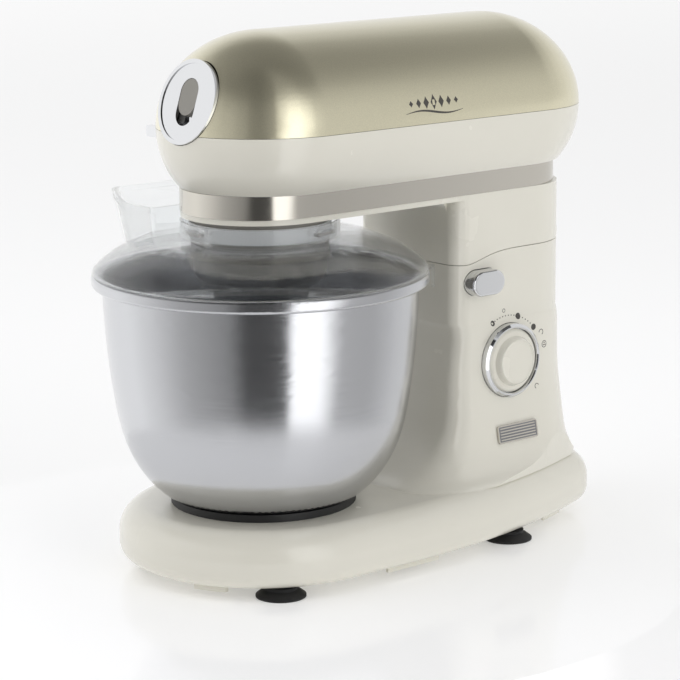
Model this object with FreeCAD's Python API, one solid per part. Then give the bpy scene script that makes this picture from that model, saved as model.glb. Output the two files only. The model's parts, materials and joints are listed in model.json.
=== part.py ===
"""Tilt-head stand mixer, built as separate pieces, one STEP file for each.

Millimetres. +Z is up and the nose of the head points to -Y. Every piece is drawn about the
bowl's axis and then moved once, so that the origin lies on the table under the middle of the
whole mixer. The table is the plane z = 0.
"""
import FreeCAD, Part
import math
import os
from FreeCAD import Vector

# ------------------------------------------------------------------ driving dimensions
overall_length = 425.0     # bowl rim at the front to the base's rear edge
bowl_rim_r = 125.0         # outside of the bowl's rolled rim
running_gap = 0.05         # radial gap of a shaft or pin in its bore
fit_gap = 0.3              # gap between neighbouring pieces that do not run in each other
wall = 2.6                 # moulded shells

# base and neck
foot_h = 9.0               # base underside above the table
base_r = 108.8             # half width of the base, and radius of its round front
base_top = 49.6            # flat top of the base, where the bowl stands
base_top_round = 21.0
base_low_round = 12.0
base_taper_y = 65.0        # from here back the base's sides curve inwards
base_side_r = 555.0
base_rear_corner_r = 46.0
neck_half_w = 59.0
neck_front_y = 144.0
neck_rear_y = 279.0
neck_front_corner_r = 13.0
neck_rear_corner_r = 52.0
neck_waist_z = 170.0       # below this the neck flares into the base
flare_slow, flare_slow_power = 14.0, 1.6
flare_fast, flare_fast_power = 17.0, 16.0
front_slow, front_fast, front_fast_power = 10.0, 50.0, 7.0
rear_flare = 2.0           # the rear wall hardly flares
flare_inset = 11.0         # the flare stays this far inside the base's edge
parting_front_z = 216.0    # parting line between fixed and tilting neck, at the front
parting_rear_z = 224.2     # and at the rear
parting_gap = 0.5

# hinge of the tilting head
hinge_y, hinge_z = 262.0, 226.0
hinge_pin_r = 5.0
hinge_pin_len = 52.0
knuckle_r = 12.5
hinge_cover_r = 18.6
hinge_cover_half_w = 31.0
tilt_clear_deg = 40.0      # slope of the neck cover's rear edge behind the hinge
lug_in, lug_out = 6.0, 14.0

# head
seam_z = 331.0
head_half_w = 78.5
head_rise = 70.0           # seam to the top of the head
nose_y = 4.0               # centre of the round nose
tail_y = 220.0             # centre of the round rear end
lower_centre_x = 30.0      # ellipse of the lower shell's side
lower_drop = 58.6
band_r = 59.0
band_top, band_low = 287.5, 270.0
band_t = 1.2
lip_z = 266.0
lip_r = 58.4
cap_centre_y, cap_centre_z = -65.2, 353.7
cap_tilt_deg = 18.0
cap_r = 31.5
cap_t = 3.2
slot_w, slot_len = 20.0, 35.0
tab_len = 27.0
tab_travel = 6.0

# drive
deck_z0, deck_z1 = 290.4, 296.0
deck_r = 52.0
lay_y = 57.0               # layshaft axis
motor_y = 150.0            # motor axis
gear_module = 1.5
pinion_teeth, output_teeth = 12, 64
planet_teeth, ring_teeth = 16, 48
tooth_backlash = 0.35
gear_z0, gear_z1 = 318.0, 330.0
belt_z0, belt_z1 = 301.0, 311.0
small_pulley_r, large_pulley_r = 9.0, 34.0
belt_t = 1.6
output_shaft_r = 8.0
layshaft_r = 5.0
motor_shaft_r = 4.0
housing_r = 51.0
housing_z0 = 236.0
hub_r = 49.0
hub_z0, hub_z1 = 219.5, 235.6
tool_offset = gear_module * (ring_teeth - planet_teeth) / 2
tool_shaft_r = 5.0
tool_shaft_low = 186.0
stator_r, stator_bore_r = 39.0, 23.0
stator_z0, stator_z1 = 321.0, 366.0

# bowl, lid and chute
bowl_t = 1.2
bowl_floor_z = 56.0
bowl_foot_r = 74.0
bowl_foot_z = 58.0
bowl_low_r, bowl_low_z = 88.0, 71.5
bowl_mid_r, bowl_mid_z = 101.0, 94.0
bowl_side_r, bowl_side_z = 110.2, 132.0
bowl_high_r, bowl_high_z = 114.8, 170.0
bowl_neck_r = 117.4
rim_z0, rim_z1 = 214.5, 224.0
seat_ring_r = 69.5
seat_ring_h = 5.6
lid_edge_r = 124.5
lid_t = 2.0
lid_z0 = 224.3
collar_r = 59.3
collar_t = 2.4
collar_z0, collar_z1 = 250.5, 262.7
chute_x0, chute_x1 = -128.6, -68.0
chute_y = 49.0
chute_low_z, chute_in_z, chute_out_z = 247.5, 267.0, 275.5
chute_t = 2.2

# controls
knob_y, knob_z = 196.0, 137.0
bezel_r, bezel_in_r = 28.9, 25.4
bezel_x0, bezel_x1 = 53.0, 67.4
knob_base_r, knob_face_r = 24.9, 18.0
knob_base_x, knob_step_x, knob_face_x = 60.2, 66.6, 71.8
button_y, button_z = 168.0, 201.8
button_len, button_h = 33.0, 19.6
button_face_x = 69.4
button_root_x = 53.0
button_travel = 5.0
latch_pivot_x, latch_pivot_z = 27.0, 204.0
latch_pin_r = 2.5
badge_y, badge_z = 198.5, 80.6
badge_w, badge_h, badge_t = 42.0, 14.0, 1.2
badge_tilt_deg = 11.0
nose_button_y, nose_button_z = -50.0, 326.0
nose_button_side = 8.0
nose_button_x = -66.0
feet_xy = [(75.6, -45.3), (78.0, 180.0)]
foot_r = 18.5
inlet_z = 27.0
inlet_r = 8.6

axis_y = bowl_rim_r - overall_length / 2    # the bowl's axis in the mixer's own frame
rear_y = overall_length - bowl_rim_r        # base's rear edge, from the bowl's axis
UP = Vector(0, 0, 1)
ALONG = Vector(0, 1, 0)
ACROSS = Vector(1, 0, 0)


# ------------------------------------------------------------------ drawing helpers
def save(node, shape):
    """Move a piece from the bowl's axis to the mixer's own frame and write it."""
    shape = shape.copy()
    shape.translate(Vector(0, axis_y, 0))
    shape.exportStep(f"parts/{node}.step")


def box(x0, x1, y0, y1, z0, z1):
    return Part.makeBox(x1 - x0, y1 - y0, z1 - z0, Vector(x0, y0, z0))


def post(r, z0, z1, x=0.0, y=0.0):
    """Round bar standing up."""
    return Part.makeCylinder(r, z1 - z0, Vector(x, y, z0), UP)


def tube(r_out, r_in, z0, z1, x=0.0, y=0.0):
    return post(r_out, z0, z1, x, y).cut(post(r_in, z0 - 1, z1 + 1, x, y))


def rod_x(r, x0, x1, y, z):
    """Round bar lying across the mixer."""
    return Part.makeCylinder(r, x1 - x0, Vector(x0, y, z), ACROSS)


def outline(points, closed=True):
    pts = [Vector(*p) for p in points]
    if closed:
        pts.append(pts[0])
    return Part.makePolygon(pts)


def prism(points, direction):
    return Part.Face(outline(points)).extrude(direction)


def lathe(points, y=0.0, x=0.0):
    """Turn a closed (r, z) outline about the vertical line through (x, y)."""
    face = Part.Face(outline([(x + r, y, z) for r, z in points]))
    return face.revolve(Vector(x, y, 0), UP, 360)


def lathe_x(points, y, z):
    """Turn a closed (x, r) outline about the line along X through (y, z)."""
    face = Part.Face(outline([(a, y, z + r) for a, r in points]))
    return face.revolve(Vector(0, y, z), ACROSS, 360)


def fused(shapes):
    whole = shapes[0]
    for other in shapes[1:]:
        whole = whole.fuse(other)
    return whole.removeSplitter()


def both_sides(shape):
    """The shape and its mirror image across the mixer's middle plane."""
    return [shape, shape.mirror(Vector(0, 0, 0), ACROSS)]


def arc3(a, b, c):
    return Part.Arc(Vector(*a), Vector(*b), Vector(*c)).toShape()


def stadium(r, z0, z1, y0=0.0, y1=tail_y):
    """Upright prism with straight sides and half-round ends about y0 and y1."""
    edges = [
        Part.makeLine(Vector(r, y0, z0), Vector(r, y1, z0)),
        arc3((r, y1, z0), (0, y1 + r, z0), (-r, y1, z0)),
        Part.makeLine(Vector(-r, y1, z0), Vector(-r, y0, z0)),
        arc3((-r, y0, z0), (0, y0 - r, z0), (r, y0, z0)),
    ]
    return Part.Face(Part.Wire(edges)).extrude(Vector(0, 0, z1 - z0))


def screw(x, y, z, down=True, head_r=3.4, head_h=2.4, r=1.7, length=10.0):
    """Pan-head screw whose head's seat is at z, with a cross recess in the head."""
    s = 1 if down else -1
    head = Part.makeCylinder(head_r, head_h, Vector(x, y, z), Vector(0, 0, s))
    shank = Part.makeCylinder(r, length, Vector(x, y, z), Vector(0, 0, -s))
    deep = head_h / 2
    z_slot = z + s * (head_h - deep)
    low, high = min(z_slot, z_slot + s * deep * 2), max(z_slot, z_slot + s * deep * 2)
    slot = box(x - head_r * 0.6, x + head_r * 0.6, y - 0.45, y + 0.45, low, high)
    cross = box(x - 0.45, x + 0.45, y - head_r * 0.6, y + head_r * 0.6, low, high)
    return head.fuse(shank).removeSplitter().cut(slot).cut(cross)


def gear_outline(teeth, z, inner=False):
    """Straight-flanked teeth about the pitch circle, thinned by the backlash."""
    pitch_r = gear_module * teeth / 2
    add, ded = gear_module * 0.9, gear_module * 1.2
    if inner:
        add, ded = ded, add
    half = math.pi / (2 * teeth) - tooth_backlash / 2 / pitch_r
    lean = 0.36 * gear_module / pitch_r
    if inner:
        half += tooth_backlash / pitch_r
    points = []
    for i in range(teeth):
        mid = 2 * math.pi * i / teeth
        for angle, r in ((-half - lean, pitch_r - ded), (-half + lean, pitch_r + add),
                         (half - lean, pitch_r + add), (half + lean, pitch_r - ded)):
            points.append((r * math.cos(mid + angle), r * math.sin(mid + angle), z))
    return points


def gear(teeth, z0, z1, bore_r, x=0.0, y=0.0, turn_deg=0.0):
    body = prism(gear_outline(teeth, z0), Vector(0, 0, z1 - z0))
    body.rotate(Vector(0, 0, 0), UP, turn_deg)
    body.translate(Vector(x, y, 0))
    return body.cut(post(bore_r, z0 - 1, z1 + 1, x, y))


# ------------------------------------------------------------------ base and lower neck
def base_outline(inset, z):
    """Plan of the base: round front, sides that curve in, rounded rear corners."""
    r = base_r - inset
    side_r = base_side_r - inset
    corner = base_rear_corner_r - inset
    end_y = rear_y - inset
    centre_x = r - side_r
    reach = side_r - corner
    corner_y = end_y - corner
    corner_x = centre_x + math.sqrt(reach ** 2 - (corner_y - base_taper_y) ** 2)
    lean = math.atan2(corner_y - base_taper_y, corner_x - centre_x)
    touch = (centre_x + side_r * math.cos(lean), base_taper_y + side_r * math.sin(lean))
    half = (centre_x + side_r * math.cos(lean / 2), base_taper_y + side_r * math.sin(lean / 2))
    mid = (lean + math.pi / 2) / 2
    round_mid = (corner_x + corner * math.cos(mid), corner_y + corner * math.sin(mid))
    edges = [
        arc3((-r, 0, z), (0, -r, z), (r, 0, z)),
        Part.makeLine(Vector(r, 0, z), Vector(r, base_taper_y, z)),
        arc3((r, base_taper_y, z), (*half, z), (*touch, z)),
        arc3((*touch, z), (*round_mid, z), (corner_x, end_y, z)),
        Part.makeLine(Vector(corner_x, end_y, z), Vector(-corner_x, end_y, z)),
        arc3((-corner_x, end_y, z), (-round_mid[0], round_mid[1], z), (-touch[0], touch[1], z)),
        arc3((-touch[0], touch[1], z), (-half[0], half[1], z), (-r, base_taper_y, z)),
        Part.makeLine(Vector(-r, base_taper_y, z), Vector(-r, 0, z)),
    ]
    return Part.Wire(edges)


def base_slab(inset):
    """Rounded slab of the base, drawn in by the inset on every side."""
    z0, z1 = foot_h + inset, base_top - inset
    slab = Part.Face(base_outline(inset, z0)).extrude(Vector(0, 0, z1 - z0))
    top = [e for e in slab.Edges if e.BoundBox.ZMin > z1 - 0.01]
    slab = slab.makeFillet(base_top_round - inset, top)
    low = [e for e in slab.Edges if e.BoundBox.ZMax < z0 + 0.01]
    return slab.makeFillet(base_low_round - inset, low)


def plate_outline(inset, z0, z1):
    """Prism with the plan of the opening under the base, drawn in by the inset."""
    return Part.Face(base_outline(base_low_round + inset, z0)).extrude(Vector(0, 0, z1 - z0))


def neck_section(z, inset):
    """Rounded rectangle across the neck at one height."""
    depth = min(1.0, max(0.0, (neck_waist_z - z) / (neck_waist_z - base_top)))
    spread = flare_slow * depth ** flare_slow_power + flare_fast * depth ** flare_fast_power
    ahead = front_slow * depth ** flare_slow_power + front_fast * depth ** front_fast_power
    hw = neck_half_w + spread - inset
    y0 = neck_front_y - ahead + inset
    y1 = neck_rear_y + rear_flare * depth ** 2 - inset
    rf = neck_front_corner_r + ahead * 0.5 - inset
    rr = neck_rear_corner_r - inset
    k = 1 - math.sqrt(0.5)
    edges = [
        Part.makeLine(Vector(-hw + rf, y0, z), Vector(hw - rf, y0, z)),
        arc3((hw - rf, y0, z), (hw - rf * k, y0 + rf * k, z), (hw, y0 + rf, z)),
        Part.makeLine(Vector(hw, y0 + rf, z), Vector(hw, y1 - rr, z)),
        arc3((hw, y1 - rr, z), (hw - rr * k, y1 - rr * k, z), (hw - rr, y1, z)),
        Part.makeLine(Vector(hw - rr, y1, z), Vector(-hw + rr, y1, z)),
        arc3((-hw + rr, y1, z), (-hw + rr * k, y1 - rr * k, z), (-hw, y1 - rr, z)),
        Part.makeLine(Vector(-hw, y1 - rr, z), Vector(-hw, y0 + rf, z)),
        arc3((-hw, y0 + rf, z), (-hw + rf * k, y0 + rf * k, z), (-hw + rf, y0, z)),
    ]
    return Part.Wire(edges)


def neck_column(inset, z_high):
    """Neck from inside the base up past the parting line: a flared loft under a prism."""
    heights = [base_top - inset - 1.5, 50.5, 53.0, 58.0, 66.0, 80.0, 100.0, 130.0, neck_waist_z]
    flare = Part.makeLoft([neck_section(z, inset) for z in heights], True, False)
    flare = flare.common(Part.Face(base_outline(flare_inset + inset, 30)).extrude(
        Vector(0, 0, 200)))
    upper = Part.Face(neck_section(neck_waist_z, inset)).extrude(
        Vector(0, 0, z_high - neck_waist_z))
    return flare.fuse(upper)


def parting_tool(shift, z_far):
    """Everything from the curved parting surface to z_far, the surface moved by shift."""
    y0, y1, y2, y3 = neck_front_y + 6, neck_front_y + 24, neck_front_y + 28, neck_front_y + 62
    curve = Part.BezierCurve()
    low, high = parting_front_z + shift, parting_rear_z + shift
    curve.setPoles([Vector(0, y0, low), Vector(0, y1, low), Vector(0, y2, high),
                    Vector(0, y3, high)])
    far_front, far_rear = neck_front_y - 60, neck_rear_y + 40
    edges = [
        Part.makeLine(Vector(0, far_front, low), Vector(0, y0, low)),
        curve.toShape(),
        Part.makeLine(Vector(0, y3, high), Vector(0, far_rear, high)),
        Part.makeLine(Vector(0, far_rear, high), Vector(0, far_rear, z_far)),
        Part.makeLine(Vector(0, far_rear, z_far), Vector(0, far_front, z_far)),
        Part.makeLine(Vector(0, far_front, z_far), Vector(0, far_front, low)),
    ]
    face = Part.Face(Part.Wire(edges))
    face.translate(Vector(-150, 0, 0))
    return face.extrude(Vector(300, 0, 0))


def oblong_x(length, height, x0, x1, y, z):
    """Bar along X with a section like a race track, long along Y."""
    r, flat = height / 2, length / 2 - height / 2
    edges = [
        Part.makeLine(Vector(x0, y - flat, z - r), Vector(x0, y + flat, z - r)),
        arc3((x0, y + flat, z - r), (x0, y + flat + r, z), (x0, y + flat, z + r)),
        Part.makeLine(Vector(x0, y + flat, z + r), Vector(x0, y - flat, z + r)),
        arc3((x0, y - flat, z + r), (x0, y - flat - r, z), (x0, y - flat, z - r)),
    ]
    return Part.Face(Part.Wire(edges)).extrude(Vector(x1 - x0, 0, 0))


def hinge_slot():
    """Room in the roof of the lower neck for the hinge knuckles and the stand frame."""
    reach = hinge_cover_half_w - 4
    room = box(-reach, reach, hinge_y - 22, hinge_y + 20, parting_front_z - 12, parting_rear_z + 30)
    return room.common(Part.Face(neck_section(neck_waist_z, wall)).extrude(Vector(0, 0, 200)))


def base_shell():
    outside = base_slab(0).fuse(neck_column(0, parting_rear_z + 20))
    inside = base_slab(wall).fuse(neck_column(wall, parting_rear_z + 20))
    inside = inside.cut(parting_tool(-wall - parting_gap / 2, parting_rear_z + 60))
    shell = outside.cut(parting_tool(-parting_gap / 2, parting_rear_z + 60)).cut(inside)
    cover = rod_x(hinge_cover_r, -hinge_cover_half_w, hinge_cover_half_w, hinge_y, hinge_z)
    cover = cover.makeFillet(6.0, [e for e in cover.Edges if e.Closed and e.BoundBox.XLength < 1])
    reach = hinge_cover_half_w - 4
    cover = cover.cut(rod_x(knuckle_r + 1.4, -reach, reach, hinge_y, hinge_z))
    keep = box(-60, 60, hinge_y + 4, hinge_y + 40, parting_rear_z - wall - 6, hinge_z + 40)
    shell = shell.fuse(cover.common(keep))
    for x, y in boss_places():
        shell = shell.fuse(tube(4.2, 1.75, foot_h + 3.6, base_top - 1.0, x, y))
    shell = shell.cut(rod_x(knuckle_r + 1.4, -reach, reach, hinge_y, hinge_z))
    shell = shell.cut(hinge_slot().cut(keep))
    shell = shell.cut(plate_outline(0.1, foot_h - 1, foot_h + wall + 1))
    shell = shell.cut(rod_x(bezel_r + fit_gap, 40, 100, knob_y, knob_z))
    shell = shell.cut(oblong_x(button_len + 0.8, button_h + 0.8, 40, 100, button_y, button_z))
    shell = shell.cut(box(14, 42, button_y - 9, button_y + 9,
                          parting_front_z - 14, parting_rear_z + 10))
    shell = shell.cut(Part.makeCylinder(inlet_r, 30, Vector(0, rear_y - 20, inlet_z), ALONG))
    return shell


def base_plate():
    """Flat cover under the base, with short skirt tabs along its edge."""
    plate = plate_outline(0.4, foot_h + 0.4, foot_h + 3.4)
    skirt = plate_outline(0.4, foot_h - 4.5, foot_h + 1).cut(
        plate_outline(0.4 + wall, foot_h - 5.5, foot_h + 2))
    windows = [box(32, 54, -120, -60, 0, 30), box(60, 120, 40, 91, 0, 30),
               box(40, 120, 224, 250, 0, 30)]
    for window in windows:
        for tab in both_sides(skirt.common(window)):
            plate = plate.fuse(tab)
    for x, y in four_feet():
        plate = plate.fuse(post(5.5, foot_h - 1.2, foot_h + 0.4, x, y))
        plate = plate.cut(post(2.0, foot_h - 3, foot_h + 6, x, y))
    for x, y in plate_screw_places() + frame_screw_places():
        plate = plate.cut(post(1.9, foot_h - 3, foot_h + 6, x, y))
    return plate.removeSplitter()


def four_feet():
    return [(s * x, y) for x, y in feet_xy for s in (1, -1)]


def boss_places():
    return [(s * x, y) for x, y in ((45, -60), (84, 66)) for s in (1, -1)]


def plate_screw_places():
    return boss_places() + [(24, 236), (-24, 236)]


def suction_foot(x, y):
    """Rubber cup: wide lip on the table, waist, and a stud plate under the base plate."""
    top = foot_h - 1.3
    profile = [(2.2, 3.0), (foot_r - 5, 1.6), (foot_r - 3, 0.0), (foot_r, 0.0), (foot_r, 1.4),
               (foot_r - 4, 4.4), (12.0, 5.4), (12.0, top), (2.2, top)]
    return lathe(profile, y, x)


def foot_screw(x, y):
    shaft = post(1.8, 2.4, foot_h + 9.0, x, y)
    return shaft.fuse(post(4.8, 1.2, 2.6, x, y)).removeSplitter()


# ------------------------------------------------------------------ frame inside the neck
def stand_frame():
    floor_z = foot_h + 3.4
    foot = box(-40, 40, 196, 276, floor_z, floor_z + 4)
    plates = []
    for side in (-1, 1):
        x0 = lug_in if side > 0 else -lug_out
        plate = prism([(x0, 200, floor_z + 4), (x0, 274, floor_z + 4), (x0, 266, 150),
                       (x0, hinge_y + 8, hinge_z - 12), (x0, hinge_y - 14, hinge_z - 8),
                       (x0, 232, 150)], Vector(lug_out - lug_in, 0, 0))
        boss = rod_x(knuckle_r - 0.5, x0, x0 + lug_out - lug_in, hinge_y, hinge_z)
        plates.append(plate.fuse(boss))
    web = box(-lug_in - 0.5, lug_in + 0.5, 240, 246, floor_z + 4, 190)
    frame = fused([foot] + plates + [web])
    frame = frame.cut(rod_x(hinge_pin_r + running_gap, -40, 40, hinge_y, hinge_z))
    for x, y in frame_screw_places() + plate_screw_places():
        frame = frame.cut(post(1.75, floor_z - 1, floor_z + 6, x, y))
    return frame


def frame_screw_places():
    return [(s * 31, y) for y in (206, 266) for s in (1, -1)]


def hinge_pin():
    half = hinge_pin_len / 2
    pin = rod_x(hinge_pin_r, -half, half, hinge_y, hinge_z)
    for side in (-1, 1):
        at = side * (half - 2.2)
        groove = rod_x(hinge_pin_r + 1, at - 0.5, at + 0.5, hinge_y, hinge_z).cut(
            rod_x(hinge_pin_r - 0.7, at - 1, at + 1, hinge_y, hinge_z))
        pin = pin.cut(groove)
    return pin


def seat_ring():
    """Bayonet ring that the bowl's foot turns into."""
    ring = tube(seat_ring_r, 60.4, base_top, base_top + seat_ring_h)
    ring = ring.fuse(tube(seat_ring_r - 3, 55.0, base_top, base_top + 1.6))
    for k in range(3):
        key = box(56.6, 60.6, -9, 9, base_top + 3.9, base_top + seat_ring_h)
        key.rotate(Vector(0, 0, 0), UP, 40 + 120 * k)
        ring = ring.fuse(key)
    return ring.removeSplitter()


# ------------------------------------------------------------------ bowl
def bowl_side(inset):
    """Curve of the bowl's side from its foot to its neck, and its two ends."""
    foot = Vector(bowl_foot_r - inset, 0, bowl_foot_z + inset)
    low = Vector(bowl_low_r - inset * 0.7, 0, bowl_low_z + inset * 0.7)
    mid = Vector(bowl_mid_r - inset, 0, bowl_mid_z)
    side = Vector(bowl_side_r - inset, 0, bowl_side_z)
    high = Vector(bowl_high_r - inset, 0, bowl_high_z)
    neck = Vector(bowl_neck_r - inset, 0, rim_z0 - 1)
    curve = Part.BSplineCurve()
    curve.interpolate([foot, low, mid, side, high, neck])
    return curve.toShape(), foot, neck


def bowl_shape():
    """Spun bowl with a flat floor and a rim rolled outwards into a bead."""
    outer, foot_o, neck_o = bowl_side(0)
    inner, foot_i, neck_i = bowl_side(bowl_t)
    floor_r = bowl_foot_r - 8
    bead = (rim_z1 - rim_z0) / 2 - 1.6
    low_out = (bowl_rim_r - bead, 0, rim_z0)
    high_out = (bowl_rim_r - bead, 0, rim_z1)
    side_low, side_high = (bowl_rim_r, 0, rim_z0 + bead), (bowl_rim_r, 0, rim_z1 - bead)
    k = bead * math.sqrt(0.5)
    top_in = (neck_i.x + 3.0, 0, rim_z1)
    edges = [
        Part.makeLine(Vector(0, 0, bowl_floor_z), Vector(floor_r, 0, bowl_floor_z)),
        Part.makeLine(Vector(floor_r, 0, bowl_floor_z), foot_o),
        outer,
        Part.makeLine(neck_o, Vector(neck_o.x + 1.0, 0, rim_z0)),
        Part.makeLine(Vector(neck_o.x + 1.0, 0, rim_z0), Vector(*low_out)),
        arc3(low_out, (bowl_rim_r - bead + k, 0, rim_z0 + bead - k), side_low),
        Part.makeLine(Vector(*side_low), Vector(*side_high)),
        arc3(side_high, (bowl_rim_r - bead + k, 0, rim_z1 - bead + k), high_out),
        Part.makeLine(Vector(*high_out), Vector(*top_in)),
        arc3(top_in, (neck_i.x + 0.9, 0, rim_z1 - 0.9), (neck_i.x, 0, rim_z1 - 3)),
        Part.makeLine(Vector(neck_i.x, 0, rim_z1 - 3), neck_i),
        inner,
        Part.makeLine(foot_i, Vector(floor_r, 0, bowl_floor_z + bowl_t)),
        Part.makeLine(Vector(floor_r, 0, bowl_floor_z + bowl_t), Vector(0, 0, bowl_floor_z + bowl_t)),
        Part.makeLine(Vector(0, 0, bowl_floor_z + bowl_t), Vector(0, 0, bowl_floor_z)),
    ]
    wire = Part.Wire(Part.__sortEdges__(edges))
    return Part.Face(wire).revolve(Vector(0, 0, 0), UP, 360)


def bowl_foot():
    """Steel foot welded under the bowl, with three bayonet lugs."""
    foot = tube(56.0, 54.4, base_top + 2.0, bowl_floor_z)
    for k in range(3):
        lug = box(55.2, 59.6, -8, 8, base_top + 2.1, base_top + 3.5)
        lug.rotate(Vector(0, 0, 0), UP, 40 + 120 * k)
        foot = foot.fuse(lug)
    return foot.removeSplitter()


# ------------------------------------------------------------------ lid and chute
def splash_lid():
    """Clear dome with a collar round the gear housing, a window for the chute and a lug."""
    t = lid_t
    dome = lathe([(53.2, collar_z0), (86, 248.8), (106.6, 240.5), (117.5, 233.4),
                  (123.2, 228.2), (lid_edge_r, lid_z0), (lid_edge_r - t, lid_z0),
                  (121.4, 227.2), (116.6, 231.4), (106.0, 238.2), (85.6, 246.7),
                  (53.2, collar_z0 - t)])
    collar = tube(collar_r, collar_r - collar_t, collar_z0 - 1.0, collar_z1)
    flange = tube(collar_r - collar_t + 0.5, 53.2, collar_z0 - t, collar_z0)
    lid = fused([dome, collar, flange])
    for k in range(3):
        tab = tube(collar_r - collar_t + 0.5, 53.2, 257.3, 259.6).common(
            sector(90, 24, 20 + 120 * k))
        lid = lid.fuse(tab)
    rib_at = sector(90, 2.2, -31)
    lid = lid.fuse(tube(collar_r + 1.1, collar_r - 1, collar_z0 - 3.4, collar_z1).common(rib_at))
    lid = lid.cut(chute_window())
    lug = tube(128.6, 126.2, 211.0, 226.4).common(sector(200, 4.4, 49.7))
    bridge = tube(128.6, 122.6, 224.6, 226.4).common(sector(200, 4.4, 49.7))
    return lid.fuse(lug).fuse(bridge).removeSplitter()


def sector(reach, width_deg, at_deg):
    """Tall wedge from the bowl's axis, for taking a slice of a ring."""
    a0, a1 = math.radians(at_deg - width_deg / 2), math.radians(at_deg + width_deg / 2)
    return prism([(0, 0, 200), (reach * math.cos(a0), reach * math.sin(a0), 200),
                  (reach * math.cos(a1), reach * math.sin(a1), 200)], Vector(0, 0, 100))


def chute_walls(inset):
    """Tapered funnel: upright towards the head, leaning out over the bowl's edge."""
    foot_x0 = chute_x0 + 14
    low = [(foot_x0 + inset, -chute_y + 4 + inset, chute_low_z - 16),
           (chute_x1 - inset, -chute_y + 1 + inset, chute_low_z - 16),
           (chute_x1 - inset, chute_y - 1 - inset, chute_low_z - 16),
           (foot_x0 + inset, chute_y - 4 - inset, chute_low_z - 16)]
    high = [(chute_x0 + inset, -chute_y + inset, chute_out_z + 5),
            (chute_x1 - inset, -chute_y + inset, chute_out_z + 5),
            (chute_x1 - inset, chute_y - inset, chute_out_z + 5),
            (chute_x0 + inset, chute_y - inset, chute_out_z + 5)]
    solid = Part.makeLoft([outline(low), outline(high)], True, True)
    corners = [e for e in solid.Edges
               if e.BoundBox.ZLength > 20 and e.BoundBox.XMax < chute_x1 - 20]
    inner = [e for e in solid.Edges
             if e.BoundBox.ZLength > 20 and e.BoundBox.XMin > chute_x1 - 20]
    solid = solid.makeFillet(15.0 - inset, corners)
    inner = [e for e in solid.Edges
             if e.BoundBox.ZLength > 20 and e.BoundBox.XMin > chute_x1 - 5]
    return solid.makeFillet(5.0 - inset, inner)


def chute_rim_cut():
    """Removes what lies above the chute's rim, which rises towards its outer wall."""
    y = -chute_y - 10
    points = [(chute_x1 + 10, y, chute_in_z), (chute_x0 + 26, y, chute_in_z),
              (chute_x0 + 6, y, chute_out_z), (chute_x0 - 10, y, chute_out_z),
              (chute_x0 - 10, y, chute_out_z + 20), (chute_x1 + 10, y, chute_out_z + 20)]
    return prism(points, Vector(0, 2 * chute_y + 20, 0))


def under_dome():
    """Everything below the lid's outer surface, a little raised."""
    g = fit_gap
    return lathe([(0, 150), (170, 150), (170, lid_z0 - 4), (lid_edge_r + g, lid_z0 - 4),
                  (123.2 + g, 228.2 + g), (117.5, 233.4 + g), (106.6, 240.5 + g),
                  (86, 248.8 + g), (53.2, collar_z0 + g), (0, collar_z0 + g)])


def feed_chute():
    walls = chute_walls(0).cut(chute_walls(chute_t)).cut(chute_rim_cut())
    walls = walls.cut(under_dome())
    lip_out = chute_walls(-1.2).cut(chute_rim_cut())
    lower = lip_out.copy()
    lower.translate(Vector(0, 0, -4.2))
    lip = lip_out.cut(lower).cut(chute_walls(chute_t))
    band = box(-132.5, chute_x1 + 0.4, -60, 60, 230, 300)
    return walls.fuse(lip.common(band)).removeSplitter()


def chute_window():
    """Opening in the lid under the chute, inside its walls."""
    return chute_walls(chute_t + 1.5).common(post(115.5, 200, 300))


# ------------------------------------------------------------------ head shells
def dome_bar(half_wire):
    """Head-shaped solid from half a section, which closes on the line x = 0."""
    face = Part.Face(half_wire)
    front, rear = face.copy(), face.copy()
    front.translate(Vector(0, nose_y, 0))
    rear.translate(Vector(0, tail_y, 0))
    nose = front.revolve(Vector(0, nose_y, 0), UP, -180)
    tail = rear.revolve(Vector(0, tail_y, 0), UP, 180)
    side = front.extrude(Vector(0, tail_y - nose_y, 0))
    return fused([nose, tail] + both_sides(side))


def ellipse_arc(centre_x, half_w, rise, x_end):
    """Arc of an ellipse in the plane y = 0, from its widest point on the seam to x_end."""
    centre = Vector(centre_x, 0, seam_z)
    wide, high = Vector(centre_x + half_w, 0, seam_z), Vector(centre_x, 0, seam_z + rise)
    if abs(rise) > half_w:
        curve = Part.Ellipse(high, wide, centre)
    else:
        curve = Part.Ellipse(wide, high, centre)
    share = (x_end - centre_x) / half_w
    end = Vector(x_end, 0, seam_z + rise * math.sqrt(1 - share ** 2))
    p0, p1 = curve.parameter(wide), curve.parameter(end)
    arcs = [Part.ArcOfEllipse(curve, p0, p1).toShape(), Part.ArcOfEllipse(curve, p1, p0).toShape()]
    return min(arcs, key=lambda e: e.Length), wide, end


def half_section(arc, side, end, z_flat):
    """Closed half section from an arc, its end nearest the middle, and a flat at z_flat."""
    edges = [arc]
    if end.x > 0.01:
        edges.append(Part.makeLine(end, Vector(0, 0, end.z)))
    edges.append(Part.makeLine(Vector(0, 0, end.z), Vector(0, 0, z_flat)))
    edges.append(Part.makeLine(Vector(0, 0, z_flat), Vector(side.x, 0, z_flat)))
    if abs(z_flat - side.z) > 0.01:
        edges.append(Part.makeLine(Vector(side.x, 0, z_flat), side))
    return Part.Wire(Part.__sortEdges__(edges))


def top_dome(inset, z_low):
    arc, side, end = ellipse_arc(0, head_half_w - inset, head_rise - inset, 0.0)
    return dome_bar(half_section(arc, side, end, z_low))


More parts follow.
